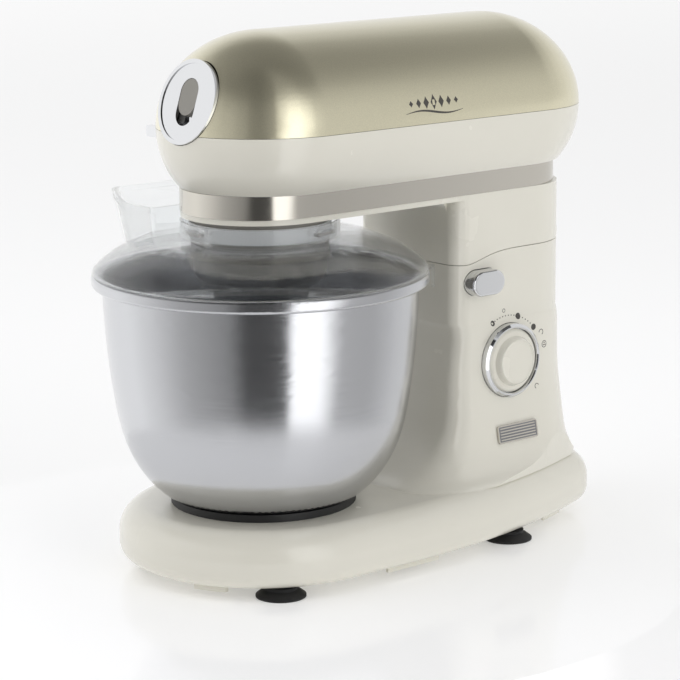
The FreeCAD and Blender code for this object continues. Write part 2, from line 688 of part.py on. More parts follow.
def lower_bar(inset, z_low, z_high):
    """Solid inside the lower shell's outer (inset 0) or inner surface."""
    half_w = head_half_w - lower_centre_x - inset
    drop = lower_drop - inset
    x_low = lower_centre_x + half_w * math.sqrt(1 - ((seam_z - z_low) / drop) ** 2)
    arc, side, end = ellipse_arc(lower_centre_x, half_w, -drop, x_low)
    return dome_bar(half_section(arc, side, end, z_high))


def cap_frame():
    """Unit vectors of the front cap: out of the nose, and up along its face."""
    tilt = math.radians(cap_tilt_deg)
    out = Vector(0, -math.cos(tilt), math.sin(tilt))
    up = Vector(0, math.sin(tilt), math.cos(tilt))
    return out, up


def cap_bore(r, depth_out, depth_in):
    out, up = cap_frame()
    base = Vector(0, cap_centre_y, cap_centre_z) - out * depth_in
    return Part.makeCylinder(r, depth_in + depth_out, base, out)


def top_shell():
    shell = top_dome(0, seam_z).cut(top_dome(wall, seam_z - 5))
    return shell.cut(cap_bore(cap_r + fit_gap, 20, 24))


def lower_shell():
    shell = lower_bar(0, band_top, seam_z).cut(lower_bar(wall, band_top + 2.4, seam_z + 4))
    shell = shell.cut(box(-100, 100, -100, 320, seam_z - fit_gap, seam_z + 1))
    shell = shell.cut(stadium(deck_r + 2.5, band_top - 5, band_top + 8))
    hole = box(-100, -30, nose_button_y - nose_button_side / 2 - fit_gap,
               nose_button_y + nose_button_side / 2 + fit_gap,
               nose_button_z - nose_button_side / 2 - fit_gap,
               nose_button_z + nose_button_side / 2 + fit_gap)
    return shell.cut(cap_bore(cap_r + fit_gap, 20, 24)).cut(hole)


def side_band():
    return stadium(band_r, band_low + 0.1, band_top - 0.1).cut(
        stadium(band_r - band_t, band_low - 1, band_top + 1))


# ------------------------------------------------------------------ tilting neck and arm
def tilt_clearance():
    """Room behind and about the hinge, so that the cover clears the lower neck."""
    drop = math.tan(math.radians(tilt_clear_deg))
    far = neck_rear_y + 30
    inner = hinge_cover_half_w + 0.6
    wedge = prism([(inner, hinge_y, hinge_z - 30), (inner, far, hinge_z - 30),
                   (inner, far, hinge_z + drop * (far - hinge_y)), (inner, hinge_y, hinge_z)],
                  Vector(100, 0, 0))
    barrel = rod_x(hinge_cover_r + 0.5, -hinge_cover_half_w - 0.6, hinge_cover_half_w + 0.6,
                   hinge_y, hinge_z)
    return fused([barrel] + both_sides(wedge))


def arm_cover():
    """Underside of the arm and the upper half of the neck, in one moulding."""
    column = Part.Face(neck_section(neck_waist_z, 0)).extrude(Vector(0, 0, 270))
    column = column.common(parting_tool(parting_gap / 2, band_low))
    lip = stadium(lip_r, lip_z, band_low)
    core = stadium(band_r - band_t - 0.1, band_low - 0.5, band_top - 0.2)
    fillet_r = 10.0
    fillet = box(-neck_half_w + neck_front_corner_r, neck_half_w - neck_front_corner_r,
                 neck_front_y - fillet_r, neck_front_y + 4, lip_z - fillet_r, lip_z + 1)
    fillet = fillet.cut(rod_x(fillet_r, -100, 100, neck_front_y - fillet_r, lip_z - fillet_r))
    outside = column.fuse(lip).fuse(core).fuse(fillet)
    room = stadium(band_r - band_t - 0.1 - wall, lip_z + wall, band_top + 5)
    neck_room = Part.Face(neck_section(neck_waist_z, wall)).extrude(Vector(0, 0, 270))
    neck_room = neck_room.common(box(-80, 80, 100, 300, 190, lip_z + wall + 1))
    cover = outside.cut(room).cut(neck_room).cut(tilt_clearance())
    return cover.cut(post(housing_r + 0.6, lip_z - 5, lip_z + 8))


def arm_frame():
    """Cast arm: deck under the drive, and two hinge knuckles reaching down the neck."""
    deck = stadium(deck_r, deck_z0, deck_z1, 0, 214)
    deck = deck.cut(post(housing_r - 4, deck_z0 - 1, deck_z1 + 1))
    arms = []
    for side in (-1, 1):
        x0 = 15.2 if side > 0 else -23.2
        arm = prism([(x0, 196, deck_z0 + 1), (x0, 258, deck_z0 + 1), (x0, 256, hinge_z + 30),
                     (x0, hinge_y - 10, hinge_z + 17), (x0, hinge_y - 4, hinge_z + 11),
                     (x0, hinge_y - 4, hinge_z - 9), (x0, hinge_y - 11.5, hinge_z),
                     (x0, 236, 252), (x0, 206, 276)], Vector(8, 0, 0))
        boss = rod_x(knuckle_r, x0, x0 + 8, hinge_y, hinge_z)
        arms.append(arm.fuse(boss))
    frame = fused([deck] + arms)
    frame = frame.cut(rod_x(hinge_pin_r + 1.5, -40, 40, hinge_y, hinge_z))
    frame = frame.cut(post(layshaft_r + 4.0, deck_z0 - 1, deck_z1 + 1, 0, lay_y))
    frame = frame.cut(post(10.0, deck_z0 - 1, deck_z1 + 1, 0, motor_y))
    return frame


def gear_housing():
    """Cast cup round the planet gears, hung from the deck and showing through the lid."""
    cup = lathe([(housing_r - 3, housing_z0), (housing_r, housing_z0), (housing_r, deck_z0 - 4),
                 (housing_r + 3, deck_z0 - 4), (housing_r + 3, deck_z0 - fit_gap / 3),
                 (12.0, deck_z0 - fit_gap / 3), (12.0, deck_z0 - 6), (housing_r - 3, deck_z0 - 6)])
    for k in range(3):
        lug = tube(56.2, housing_r - 0.5, 254.4, 257.0).common(sector(90, 22, 20 + 120 * k))
        cup = cup.fuse(lug)
    return cup.cut(post(output_shaft_r + 4.05, deck_z0 - 20, deck_z1)).removeSplitter()


def ring_gear():
    outer = post(housing_r - 3.05, 262, 272)
    return outer.cut(prism(gear_outline(ring_teeth, 261, inner=True), Vector(0, 0, 12)))


def planet_carrier():
    """Turning hub that shows below the gear housing, with a boss for the tool shaft."""
    hub = lathe([(output_shaft_r + 0.02, hub_z0 + 1), (hub_r - 3, hub_z0), (hub_r, hub_z0 + 4),
                 (hub_r, hub_z1), (output_shaft_r + 0.02, hub_z1)])
    boss = post(13.0, hub_z1 - 1, 258.0, tool_offset, 0)
    collar = tube(15.0, output_shaft_r + 0.02, hub_z1 - 1, 256.0)
    bore = post(tool_shaft_r + running_gap, hub_z0 - 2, 262.0, tool_offset, 0)
    return fused([hub, boss, collar]).cut(bore).cut(
        post(output_shaft_r + 0.02, hub_z0 - 2, 262))


def tool_shaft():
    shaft = post(tool_shaft_r, tool_shaft_low, 273.0, tool_offset, 0)
    shaft = shaft.cut(post(tool_shaft_r + 1, 196.0, 198.0, tool_offset, 0).cut(
        post(tool_shaft_r - 0.6, 195.0, 199.0, tool_offset, 0)))
    return shaft.cut(cross_pin(0.01))


def cross_pin(extra=0.0):
    return Part.makeCylinder(1.5 + extra, 17.0, Vector(tool_offset, -8.5, 208.0), ALONG)


# ------------------------------------------------------------------ motor and drive
def belt():
    """Toothless loop round the two pulleys."""
    def loop(extra, z0, z1):
        r0, r1 = large_pulley_r + extra, small_pulley_r + extra
        run = motor_y - lay_y
        a = math.acos((r0 - r1) / run)
        pts = [(r0 * math.sin(a), lay_y + r0 * math.cos(a)),
               (r1 * math.sin(a), motor_y + r1 * math.cos(a))]
        edges = [
            Part.makeLine(Vector(*pts[0], z0), Vector(*pts[1], z0)),
            arc3((*pts[1], z0), (0, motor_y + r1, z0), (-pts[1][0], pts[1][1], z0)),
            Part.makeLine(Vector(-pts[1][0], pts[1][1], z0), Vector(-pts[0][0], pts[0][1], z0)),
            arc3((-pts[0][0], pts[0][1], z0), (0, lay_y - r0, z0), (*pts[0], z0)),
        ]
        return Part.Face(Part.Wire(edges)).extrude(Vector(0, 0, z1 - z0))
    inner = loop(0.1, belt_z0 - 1, belt_z1 + 1)
    return loop(0.1 + belt_t, belt_z0, belt_z1).cut(inner)


def pulley(r, bore_r, y):
    z0, z1 = belt_z0 - 1.6, belt_z1 + 1.6
    body = lathe([(bore_r, z0), (r + 3, z0), (r + 3, belt_z0 - 0.4), (r, belt_z0 - 0.4),
                  (r, belt_z1 + 0.4), (r + 3, belt_z1 + 0.4), (r + 3, z1), (bore_r, z1)], y)
    if r > 20:
        for k in range(5):
            a = 2 * math.pi * k / 5
            body = body.cut(post(7.0, z0 - 1, z1 + 1, 20 * math.cos(a), y + 20 * math.sin(a)))
    return body


def motor_stator():
    stack = tube(stator_r, stator_bore_r, stator_z0, stator_z1, 0, motor_y)
    for side in (-1, 1):
        slot = box(side * 31 - 5, side * 31 + 5, motor_y - 26, motor_y + 26,
                   stator_z0 - 1, stator_z1 + 1)
        ring = tube(36.0, 27.0, stator_z0 - 1, stator_z1 + 1, 0, motor_y)
        stack = stack.cut(slot.common(ring))
    return stack


def field_coils():
    coils = []
    for side in (-1, 1):
        slot = box(side * 31 - 4.6, side * 31 + 4.6, motor_y - 24, motor_y + 24,
                   stator_z0 - 4, stator_z1 + 4)
        ring = tube(35.6, 27.4, stator_z0 - 4, stator_z1 + 4, 0, motor_y)
        coils.append(slot.common(ring))
    return Part.makeCompound(coils)


def motor_rotor():
    core = post(stator_bore_r - 0.8, stator_z0, stator_z1, 0, motor_y)
    bore = post(motor_shaft_r + 0.01, stator_z0 - 1, stator_z1 + 1, 0, motor_y)
    rotor = core.cut(bore)
    for k in range(12):
        slot = box(stator_bore_r - 6, stator_bore_r, -1.1, 1.1, stator_z0 - 1, stator_z1 + 1)
        slot.rotate(Vector(0, 0, 0), UP, 30 * k)
        slot.translate(Vector(0, motor_y, 0))
        rotor = rotor.cut(slot)
    return rotor


def commutator():
    drum = tube(10.0, motor_shaft_r + 0.01, stator_z1 + 1.5, stator_z1 + 11.5, 0, motor_y)
    for k in range(12):
        slit = box(8.6, 11.0, -0.3, 0.3, stator_z1, stator_z1 + 13)
        slit.rotate(Vector(0, 0, 0), UP, 15 + 30 * k)
        slit.translate(Vector(0, motor_y, 0))
        drum = drum.cut(slit)
    return drum


def brush_holders():
    pair = []
    for side in (-1, 1):
        x0, x1 = sorted((side * 10.6, side * 26.6))
        holder = box(x0, x1, motor_y - 4, motor_y + 4, stator_z1 + 2.5, stator_z1 + 10.5)
        x0, x1 = sorted((side * 24.0, side * 26.6))
        foot = box(x0, x1, motor_y - 4, motor_y + 4, stator_z1 + 0.1, stator_z1 + 3.0)
        pair.append(holder.fuse(foot).removeSplitter())
    return Part.makeCompound(pair)


def cooling_fan():
    z0 = stator_z1 + 14.5
    fan = tube(8.0, motor_shaft_r + 0.01, z0, z0 + 7.0, 0, motor_y)
    fan = fan.fuse(tube(27.0, motor_shaft_r + 0.01, z0, z0 + 1.4, 0, motor_y))
    for k in range(9):
        blade = box(7.0, 26.5, -0.7, 0.7, z0 + 1.0, z0 + 7.0)
        blade.rotate(Vector(0, 0, 0), UP, 40 * k)
        blade.translate(Vector(0, motor_y, 0))
        fan = fan.fuse(blade)
    return fan.removeSplitter()


def motor_bracket():
    """Lower motor mount: ring under the stator on three legs down to the deck."""
    z1 = stator_z0 - 4.1
    ring = tube(stator_r, stator_bore_r + 2, z1 - 4, z1, 0, motor_y)
    hub = tube(11.0, 6.5, z1 - 4, z1, 0, motor_y)
    parts = [ring, hub]
    for k in range(3):
        arm = box(9.0, stator_bore_r + 4, -4, 4, z1 - 4, z1)
        leg = box(stator_r - 7.5, stator_r, -5, 5, deck_z1 + 0.1, z1 - 2)
        pad = box(stator_r - 2.8, stator_r, -5, 5, z1 - 2, stator_z0 - 0.1)
        for piece in (arm, leg, pad):
            piece.rotate(Vector(0, 0, 0), UP, 90 + 120 * k)
            piece.translate(Vector(0, motor_y, 0))
            parts.append(piece)
    return fused(parts)


def end_bracket():
    """Upper motor mount: bar across the commutator end, carrying the top bearing."""
    z0 = stator_z1 + 0.1
    parts = []
    for side in (-1, 1):
        parts.append(box(-5, 5, motor_y + side * 33 - 4, motor_y + side * 33 + 4,
                         z0, stator_z1 + 14.0))
    parts.append(box(-5, 5, motor_y - 37, motor_y + 37, stator_z1 + 11.9, stator_z1 + 14.0))
    parts.append(post(9.0, stator_z1 + 11.9, stator_z1 + 14.0, 0, motor_y))
    return fused(parts).cut(post(motor_shaft_r + 0.05, z0, stator_z1 + 20, 0, motor_y))


def bearing(r_in, r_out, z0, z1, y):
    """Plain ball-bearing outline: ring with a shallow groove on both faces."""
    ring = tube(r_out, r_in, z0, z1, 0, y)
    mid = (r_in + r_out) / 2
    groove = tube(mid + 0.6, mid - 0.6, z1 - 0.4, z1 + 1, 0, y)
    return ring.cut(groove)


def shaft_bearings():
    g = running_gap
    rings = [
        bearing(layshaft_r + g, layshaft_r + 3.95, deck_z0 + 0.2, deck_z1 - 0.2, lay_y),
        bearing(layshaft_r + g, layshaft_r + 4.95, gear_z1 + 8.2, gear_z1 + 12.8, lay_y),
        bearing(output_shaft_r + g, output_shaft_r + 4.0, deck_z0 - 6, deck_z0 - 0.4, 0),
        bearing(output_shaft_r + g, output_shaft_r + 5.0, gear_z1 + 8.2, gear_z1 + 12.8, 0),
        bearing(motor_shaft_r + g, 6.45, stator_z0 - 7.9, stator_z0 - 4.3, motor_y),
    ]
    return Part.makeCompound(rings)


def gear_cover():
    """Plate over the gear train on four posts from the deck."""
    z0, z1 = gear_z1 + 8, gear_z1 + 13
    plate = stadium(17.0, z0, z1, -2, lay_y + 2)
    legs = [box(-6, 6, lay_y + 40.5, lay_y + 50, deck_z1 + 0.1, z1)]
    bar = box(-6, 6, lay_y + 10, lay_y + 50, z0, z1)
    for x in (-1, 1):
        x0, x1 = sorted((x * 50.6, x * 56.6))
        legs.append(box(x0, x1, -6, 6, 297.2, z1))
        legs.append(box(min(x * 10, x * 56.6), max(x * 10, x * 56.6), -6, 6, z0, z1))
        legs.append(box(min(x * 40, x * 56.6), max(x * 40, x * 56.6), -6, 6, deck_z1 + 0.1, 299.2))
    arms = both_sides(box(12.5, 17.5, -44, 0, z0, z1))
    cover = fused([plate, bar] + legs + arms)
    cover = cover.cut(post(output_shaft_r + 5.05, z0 - 1, z1 + 1))
    return cover.cut(post(layshaft_r + 5.0, z0 - 1, z1 + 1, 0, lay_y))


def accessory_axis():
    """Start of the accessory shaft behind the cap, its direction, and how far its apex is."""
    out, up = cap_frame()
    start = Vector(0, cap_centre_y, cap_centre_z) - out * 14.0
    return start, out * -1.0, -start.y / -out.y


def apex_z():
    """Height where the accessory shaft's axis meets the output shaft's."""
    start, inward, apex = accessory_axis()
    return (start + inward * apex).z


def bevel_wheel():
    """Pitch cone of the accessory bevel, rolling on the crown of the output gear."""
    start, inward, apex = accessory_axis()
    far, near = 31.0, 24.6
    rise = math.tan(math.radians(cap_tilt_deg))
    return Part.makeCone(far * rise - 0.3, near * rise - 0.3, far - near,
                         start + inward * (apex - far), inward)


def accessory_shaft():
    start, inward, apex = accessory_axis()
    shaft = Part.makeCylinder(5.0, apex - 25.0, start, inward)
    socket = Part.makeCylinder(8.0, 8.0, start, inward)
    hole = Part.makeCylinder(3.6, 6.0, start, inward)
    return fused([shaft, socket, bevel_wheel()]).cut(hole)


def accessory_bush():
    """Bush with two ears that rest on the arms of the gear cover."""
    start, inward, apex = accessory_axis()
    ring = Part.makeCylinder(10.0, 9.0, start + inward * 10.0, inward)
    mid = start + inward * 14.5
    ears = box(-18, 18, mid.y - 4, mid.y + 4, gear_z1 + 13.1, gear_z1 + 18.0)
    bore = Part.makeCylinder(5.0 + running_gap, 40.0, start - inward * 5, inward)
    return fused([ring, ears]).cut(bore)


def output_gear():
    """Spur wheel with a raised crown for the accessory bevel."""
    turn = 90.0 + 180.0 / output_teeth
    wheel = gear(output_teeth, gear_z0, gear_z1, output_shaft_r + 0.01, 0, 0, turn)
    return wheel.fuse(tube(34.0, 24.0, gear_z1 - 0.5, apex_z() - 0.05)).removeSplitter()


# ------------------------------------------------------------------ front cap and buttons
def cap_oblong(width, length, depth0, depth1, shift=0.0):
    """Race-track bar through the cap, upright along its face, from depth0 to depth1 inwards."""
    out, up = cap_frame()
    r, flat = width / 2, length / 2 - width / 2
    c = Vector(0, cap_centre_y, cap_centre_z) - out * depth0 + up * shift
    a, b = c + up * flat, c - up * flat
    side = ACROSS * r
    edges = [
        Part.makeLine(b + side, a + side),
        Part.Arc(a + side, a + up * r, a - side).toShape(),
        Part.makeLine(a - side, b - side),
        Part.Arc(b - side, b - up * r, b + side).toShape(),
    ]
    return Part.Face(Part.Wire(edges)).extrude(out * -(depth1 - depth0))


def front_cap():
    """Chrome disc with a raised edge and an upright pocket for the sliding tab."""
    out, up = cap_frame()
    disc = cap_bore(cap_r, 0.6, cap_t)
    dish = cap_bore(cap_r - 3.0, 5.0, 0.2)
    cup = cap_oblong(slot_w + 3, slot_len + 3, cap_t - 0.5, 8.0)
    cap = disc.cut(dish).fuse(cup)
    return cap.cut(cap_oblong(slot_w, slot_len, -3.0, 6.6)).removeSplitter()


def cap_tab():
    """Plain plate that closes the upper part of the pocket."""
    shift = (slot_len - tab_len) / 2 - 0.3
    return cap_oblong(slot_w - 0.8, tab_len, 0.4, 5.8, shift)


def nose_button():
    s = nose_button_side / 2
    cap = box(nose_button_x, nose_button_x + 16, nose_button_y - s, nose_button_y + s,
              nose_button_z - s, nose_button_z + s)
    edges = [e for e in cap.Edges if e.BoundBox.XMax < nose_button_x + 0.1]
    cap = cap.makeFillet(1.0, edges)
    stem = box(nose_button_x + 15, nose_button_x + 22, nose_button_y - 2, nose_button_y + 2,
               nose_button_z - 2, nose_button_z + 2)
    return cap.fuse(stem).removeSplitter()


def release_button():
    face = oblong_x(button_len, button_h, button_root_x, button_face_x, button_y, button_z)
    edges = [e for e in face.Edges if e.BoundBox.XMin > button_face_x - 0.1]
    face = face.makeFillet(2.4, edges)
    flange = oblong_x(button_len + 3, button_h + 5, button_root_x - 1.0,
                      neck_half_w - wall - fit_gap, button_y, button_z)
    flange = flange.common(Part.Face(neck_section(neck_waist_z, wall + fit_gap)).extrude(
        Vector(0, 0, 100)))
    stem = box(latch_pivot_x + 4.5, button_root_x, button_y - 4, button_y + 4,
               button_z - 13, button_z - 6)
    return fused([face, flange, stem])


def release_spring():
    """Coil spring round a peg between the latch bracket and the button."""
    x0 = 37.6
    length = button_root_x - 1.1 - x0
    helix = Part.makeHelix(length / 5.0, length - 1.6, 4.0)
    profile = Part.Wire(Part.makeCircle(0.5, Vector(4.0, 0, 0), ALONG))
    coil = Part.Wire(helix).makePipeShell([profile], True, True)
    coil.Placement = FreeCAD.Placement(Vector(x0 + 0.8, button_y, button_z + 3),
                                       FreeCAD.Rotation(UP, ACROSS))
    return coil


def latch_bracket():
    """Bent plate fixed inside the neck's wall, holding the latch pin and the spring."""
    back = box(34.4, 37.0, button_y - 16, button_y + 16, button_z - 4.0, button_z + 9)
    ears = []
    for y0 in (button_y - 10, button_y + 7.5):
        ears.append(box(latch_pivot_x - 5, 37.0, y0, y0 + 2.5, latch_pivot_z - 5,
                        latch_pivot_z + 5))
    front, rear = neck_front_y + wall + 0.2, button_y + 24
    wings = [box(34.4, 45.0, front, front + 2.6, button_z - 4.0, button_z + 9),
             box(34.4, neck_half_w - wall - 0.1, rear - 2.6, rear, button_z - 4.0, button_z + 9)]
    ties = [box(34.4, 37.0, front, button_y - 15, button_z - 4.0, button_z + 9),
            box(34.4, 37.0, button_y + 15, rear, button_z - 4.0, button_z + 9)]
    bracket = fused([back] + ears + wings + ties)
    hole = Part.makeCylinder(latch_pin_r, 60, Vector(latch_pivot_x, button_y - 30, latch_pivot_z),
                             ALONG)
    return bracket.cut(hole)


def latch_pin():
    return Part.makeCylinder(latch_pin_r - 0.01, 22.0,
                             Vector(latch_pivot_x, button_y - 11, latch_pivot_z), ALONG)


def latch_lever():
    """Rocker on the latch pin: pushed at its foot, hooked at its head."""
    px, pz = latch_pivot_x, latch_pivot_z
    y0 = button_y - 5
    points = [(px - 3, y0, pz - 16), (px + 3.0, y0, pz - 16), (px + 3.4, y0, pz - 5),
              (px + 4.5, y0, pz), (px + 3.0, y0, pz + 6), (px + 3.0, y0, pz + 29),
              (px - 5.0, y0, pz + 31), (px - 5.0, y0, pz + 27), (px - 2.0, y0, pz + 25),
              (px - 2.0, y0, pz + 6), (px - 4.5, y0, pz)]
    lever = prism(points, Vector(0, 10, 0))
    bore = Part.makeCylinder(latch_pin_r + running_gap, 40, Vector(px, y0 - 10, pz), ALONG)
    return lever.cut(bore)


def latch_striker():
    """Post down from the arm that the latch hooks on."""
    x1 = latch_pivot_x - 5.6
    post_bar = box(x1 - 6, x1, button_y - 5, button_y + 5, parting_rear_z + 3, deck_z0 - 0.1)
    foot = box(x1 - 12, x1 + 8, button_y - 8, button_y + 8, deck_z0 - 3, deck_z0 - 0.1)
    return fused([post_bar, foot])


def knob_bezel():
    """Chrome ring round the knob, let into the neck, with a plate behind."""
    ring = lathe_x([(bezel_x0, 0), (bezel_x0, bezel_r), (bezel_x1 - 1.6, bezel_r),
                    (bezel_x1, bezel_r - 1.8), (bezel_x1, bezel_in_r + 0.8),
                    (bezel_x1 - 1.0, bezel_in_r), (bezel_x0 + 2.0, bezel_in_r),
                    (bezel_x0 + 2.0, 0)], knob_y, knob_z)
    flange = rod_x(bezel_r + 5, bezel_x0, neck_half_w - wall - 0.2, knob_y, knob_z)
    ring = ring.fuse(flange.cut(rod_x(bezel_r - 3, 50, 60, knob_y, knob_z)))
    return ring.cut(rod_x(4.0, 40, 80, knob_y, knob_z)).removeSplitter()


def speed_knob():
    """Stepped knob with a finger groove across its face and a square stem."""
    r0, r1 = knob_base_r, knob_face_r
    x0, x1, x2 = knob_base_x, knob_step_x, knob_face_x
    body = lathe_x([(x0, 0), (x0, r0 - 0.6), (x0 + 0.6, r0), (x1 - 1.8, r0), (x1, r0 - 2.2),
                    (x1 + 0.4, r1 + 1.6), (x2 - 1.0, r1), (x2, r1 - 1.0), (x2 - 0.8, r1 - 2.4),
                    (x2 - 1.2, 0)], knob_y, knob_z)
    stem = rod_x(3.2, 40.0, x0 + 1, knob_y, knob_z)
    return body.fuse(stem).removeSplitter()


def speed_switch():
    """Rotary switch behind the knob."""
    can = rod_x(17.0, 34.0, bezel_x0 - 0.2, knob_y, knob_z)
    pins = [box(30.0, 34.5, knob_y - 8 + 8 * k, knob_y - 5.6 + 8 * k, knob_z - 6, knob_z - 5.2)
            for k in range(3)]
    return fused([can] + pins).cut(rod_x(3.3, 39.0, 80, knob_y, knob_z))


def control_board():
    """Speed control board standing beside the stand frame."""
    board = box(-46, -44.4, 176, 246, 60, 130)
    sink = box(-44.4, -38, 190, 230, 96, 124)
    cap = Part.makeCylinder(6.0, 14.0, Vector(-44.4, 200, 78), ACROSS)
    posts = [box(-58.8, -46.0, y, y + 6, 118, 124) for y in (180, 214)]
    return fused([board, sink, cap] + posts)


def badge_plate():
    """Small metal plate on the flank with raised ribs."""
    hw, hh = badge_w / 2, badge_h / 2
    plate = box(0, badge_t, -hw, hw, -hh, hh)
    corners = [e for e in plate.Edges if abs(e.BoundBox.XLength - badge_t) < 1e-6]
    plate = plate.makeFillet(2.0, corners)
    rim_cut = box(badge_t - 0.4, badge_t + 1, -hw + 1.2, hw - 1.2, -hh + 1.2, hh - 1.2)
    plate = plate.cut(rim_cut)
    for k in range(5):
        z = -hh + 2.6 + k * (badge_h - 5.2) / 4
        plate = plate.fuse(box(badge_t - 0.5, badge_t - 0.05, -hw + 2.4, hw - 2.4,
                               z - 0.5, z + 0.5))
    plate = plate.removeSplitter()
    plate.rotate(Vector(0, 0, 0), ALONG, -badge_tilt_deg)
    plate.translate(Vector(badge_x(), badge_y, badge_z))
    return plate


def badge_x():
    """Where the flank is at the badge's height, with the plate let in a little."""
    depth = (neck_waist_z - badge_z) / (neck_waist_z - base_top)
    return neck_half_w + flare_slow * depth ** flare_slow_power + 0.75


def cable_inlet():
    """Rubber bush in the base's rear wall; the mains lead itself is not part of this."""
    body = Part.makeCylinder(inlet_r - 0.1, 9.0, Vector(0, rear_y - 9.2, inlet_z), ALONG)
    inner = Part.makeCylinder(inlet_r + 2.0, 2.5, Vector(0, rear_y - 9.2, inlet_z), ALONG)
    bore = Part.makeCylinder(3.6, 20.0, Vector(0, rear_y - 12, inlet_z), ALONG)
    return body.fuse(inner).removeSplitter().cut(bore)


def build():
    os.makedirs("parts", exist_ok=True)
    pieces = {
        "base_shell": base_shell,
        "base_plate": base_plate,
        "suction_feet": lambda: Part.makeCompound([suction_foot(x, y)
                                                   for x, y in four_feet()]),
        "foot_screws": lambda: Part.makeCompound([foot_screw(x, y)
                                                  for x, y in four_feet()]),
        "plate_screws": lambda: Part.makeCompound([screw(x, y, foot_h + 0.4, down=False)
                                                   for x, y in plate_screw_places()]),
        "bowl_seat_ring": seat_ring,
        "stand_frame": stand_frame,
        "frame_screws": lambda: Part.makeCompound([screw(x, y, foot_h + 7.4, length=6.5)
                                                   for x, y in frame_screw_places()]),
        "hinge_pin": hinge_pin,
        "hinge_bushes": lambda: Part.makeCompound([
            rod_x(hinge_pin_r + 1.45, x, x + 8, hinge_y, hinge_z).cut(
                rod_x(hinge_pin_r + running_gap, x - 1, x + 9, hinge_y, hinge_z))
            for x in (15.2, -23.2)]),
        "knob_bezel": knob_bezel,
        "speed_knob": speed_knob,
        "speed_switch": speed_switch,
        "control_board": control_board,
        "badge_plate": badge_plate,
        "cable_inlet": cable_inlet,
        "release_button": release_button,
        "release_spring": release_spring,
        "latch_bracket": latch_bracket,
        "latch_pin": latch_pin,
        "latch_lever": latch_lever,
        "latch_striker": latch_striker,
        "bowl": bowl_shape,
        "bowl_foot": bowl_foot,
        "splash_lid": splash_lid,
        "feed_chute": feed_chute,
        "head_top_shell": top_shell,
        "head_lower_shell": lower_shell,
        "side_band": side_band,
        "arm_cover": arm_cover,
        "arm_frame": arm_frame,
        "gear_housing": gear_housing,
        "ring_gear": ring_gear,
        "planet_carrier": planet_carrier,
        "planet_pinion": lambda: gear(planet_teeth, 262, 272, tool_shaft_r + 0.01,
                                      tool_offset, 0),
        "tool_shaft": tool_shaft,
        "tool_cross_pin": cross_pin,
        "output_shaft": lambda: post(output_shaft_r, hub_z0 + 0.6, gear_z1 + 14),
        "output_gear": output_gear,
        "layshaft": lambda: post(layshaft_r, deck_z0 + 0.4, gear_z1 + 12.6, 0, lay_y),
        "layshaft_pinion": lambda: gear(pinion_teeth, gear_z0, gear_z1, layshaft_r + 0.01, 0,
                                        lay_y, -90.0),
        "large_pulley": lambda: pulley(large_pulley_r, layshaft_r + 0.01, lay_y),
        "small_pulley": lambda: pulley(small_pulley_r, motor_shaft_r + 0.01, motor_y),
        "drive_belt": belt,
        "shaft_bearings": shaft_bearings,
        "gear_cover": gear_cover,
        "motor_stator": motor_stator,
        "field_coils": field_coils,
        "motor_rotor": motor_rotor,
        "motor_shaft": lambda: post(motor_shaft_r, belt_z0 - 3, stator_z1 + 22.0, 0, motor_y),
        "commutator": commutator,
        "brush_holders": brush_holders,
        "cooling_fan": cooling_fan,
        "motor_bracket": motor_bracket,
        "motor_end_bracket": end_bracket,
        "accessory_shaft": accessory_shaft,
        "accessory_bush": accessory_bush,
        "front_cap": front_cap,
        "cap_tab": cap_tab,
        "nose_button": nose_button,
    }
    for node, make in pieces.items():
        shape = make()
        if not shape.isValid() or shape.Volume <= 0:
            raise ValueError(f"{node} is not a valid solid")
        print(node, len(shape.Solids), round(shape.Volume))
        save(node, shape)


build()
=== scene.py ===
import json
import math

import bmesh
import bpy
from mathutils import Matrix, Vector
from mathutils.bvhtree import BVHTree

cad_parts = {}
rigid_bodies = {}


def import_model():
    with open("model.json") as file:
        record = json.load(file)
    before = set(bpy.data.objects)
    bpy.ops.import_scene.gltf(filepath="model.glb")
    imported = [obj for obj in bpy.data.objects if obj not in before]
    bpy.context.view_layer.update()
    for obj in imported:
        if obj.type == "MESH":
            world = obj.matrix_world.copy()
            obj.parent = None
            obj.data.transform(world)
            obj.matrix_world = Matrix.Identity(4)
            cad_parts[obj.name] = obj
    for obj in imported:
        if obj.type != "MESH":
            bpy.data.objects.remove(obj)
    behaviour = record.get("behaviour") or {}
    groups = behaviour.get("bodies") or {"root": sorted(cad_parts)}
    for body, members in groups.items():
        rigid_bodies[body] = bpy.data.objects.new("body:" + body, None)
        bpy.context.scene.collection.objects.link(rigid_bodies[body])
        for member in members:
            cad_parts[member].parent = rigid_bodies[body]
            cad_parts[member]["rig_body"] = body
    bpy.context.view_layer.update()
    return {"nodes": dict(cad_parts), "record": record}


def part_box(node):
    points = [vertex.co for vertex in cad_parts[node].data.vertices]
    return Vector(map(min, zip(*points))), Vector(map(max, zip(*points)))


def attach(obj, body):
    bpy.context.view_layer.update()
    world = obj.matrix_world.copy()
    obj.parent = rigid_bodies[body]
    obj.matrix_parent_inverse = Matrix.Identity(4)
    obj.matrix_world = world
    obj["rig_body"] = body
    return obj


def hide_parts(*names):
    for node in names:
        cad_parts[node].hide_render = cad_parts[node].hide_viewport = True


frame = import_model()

bl_info = {
    "name": "Stand Mixer Finishes",
    "version": (1, 0, 0),
    "blender": (4, 5, 0),
    "location": "View3D > Sidebar > Mixer",
    "description": "Finishes, printed marks and a studio for a tilt-head stand mixer",
    "category": "Object",
}

MM = 0.001


# ---------------------------------------------------------------- colours and sizes
def linear(code):
    """sRGB hex code to a linear colour."""
    values = [int(code[i:i + 2], 16) / 255 for i in (1, 3, 5)]
    return tuple(v / 12.92 if v <= 0.04045 else ((v + 0.055) / 1.055) ** 2.4 for v in values)


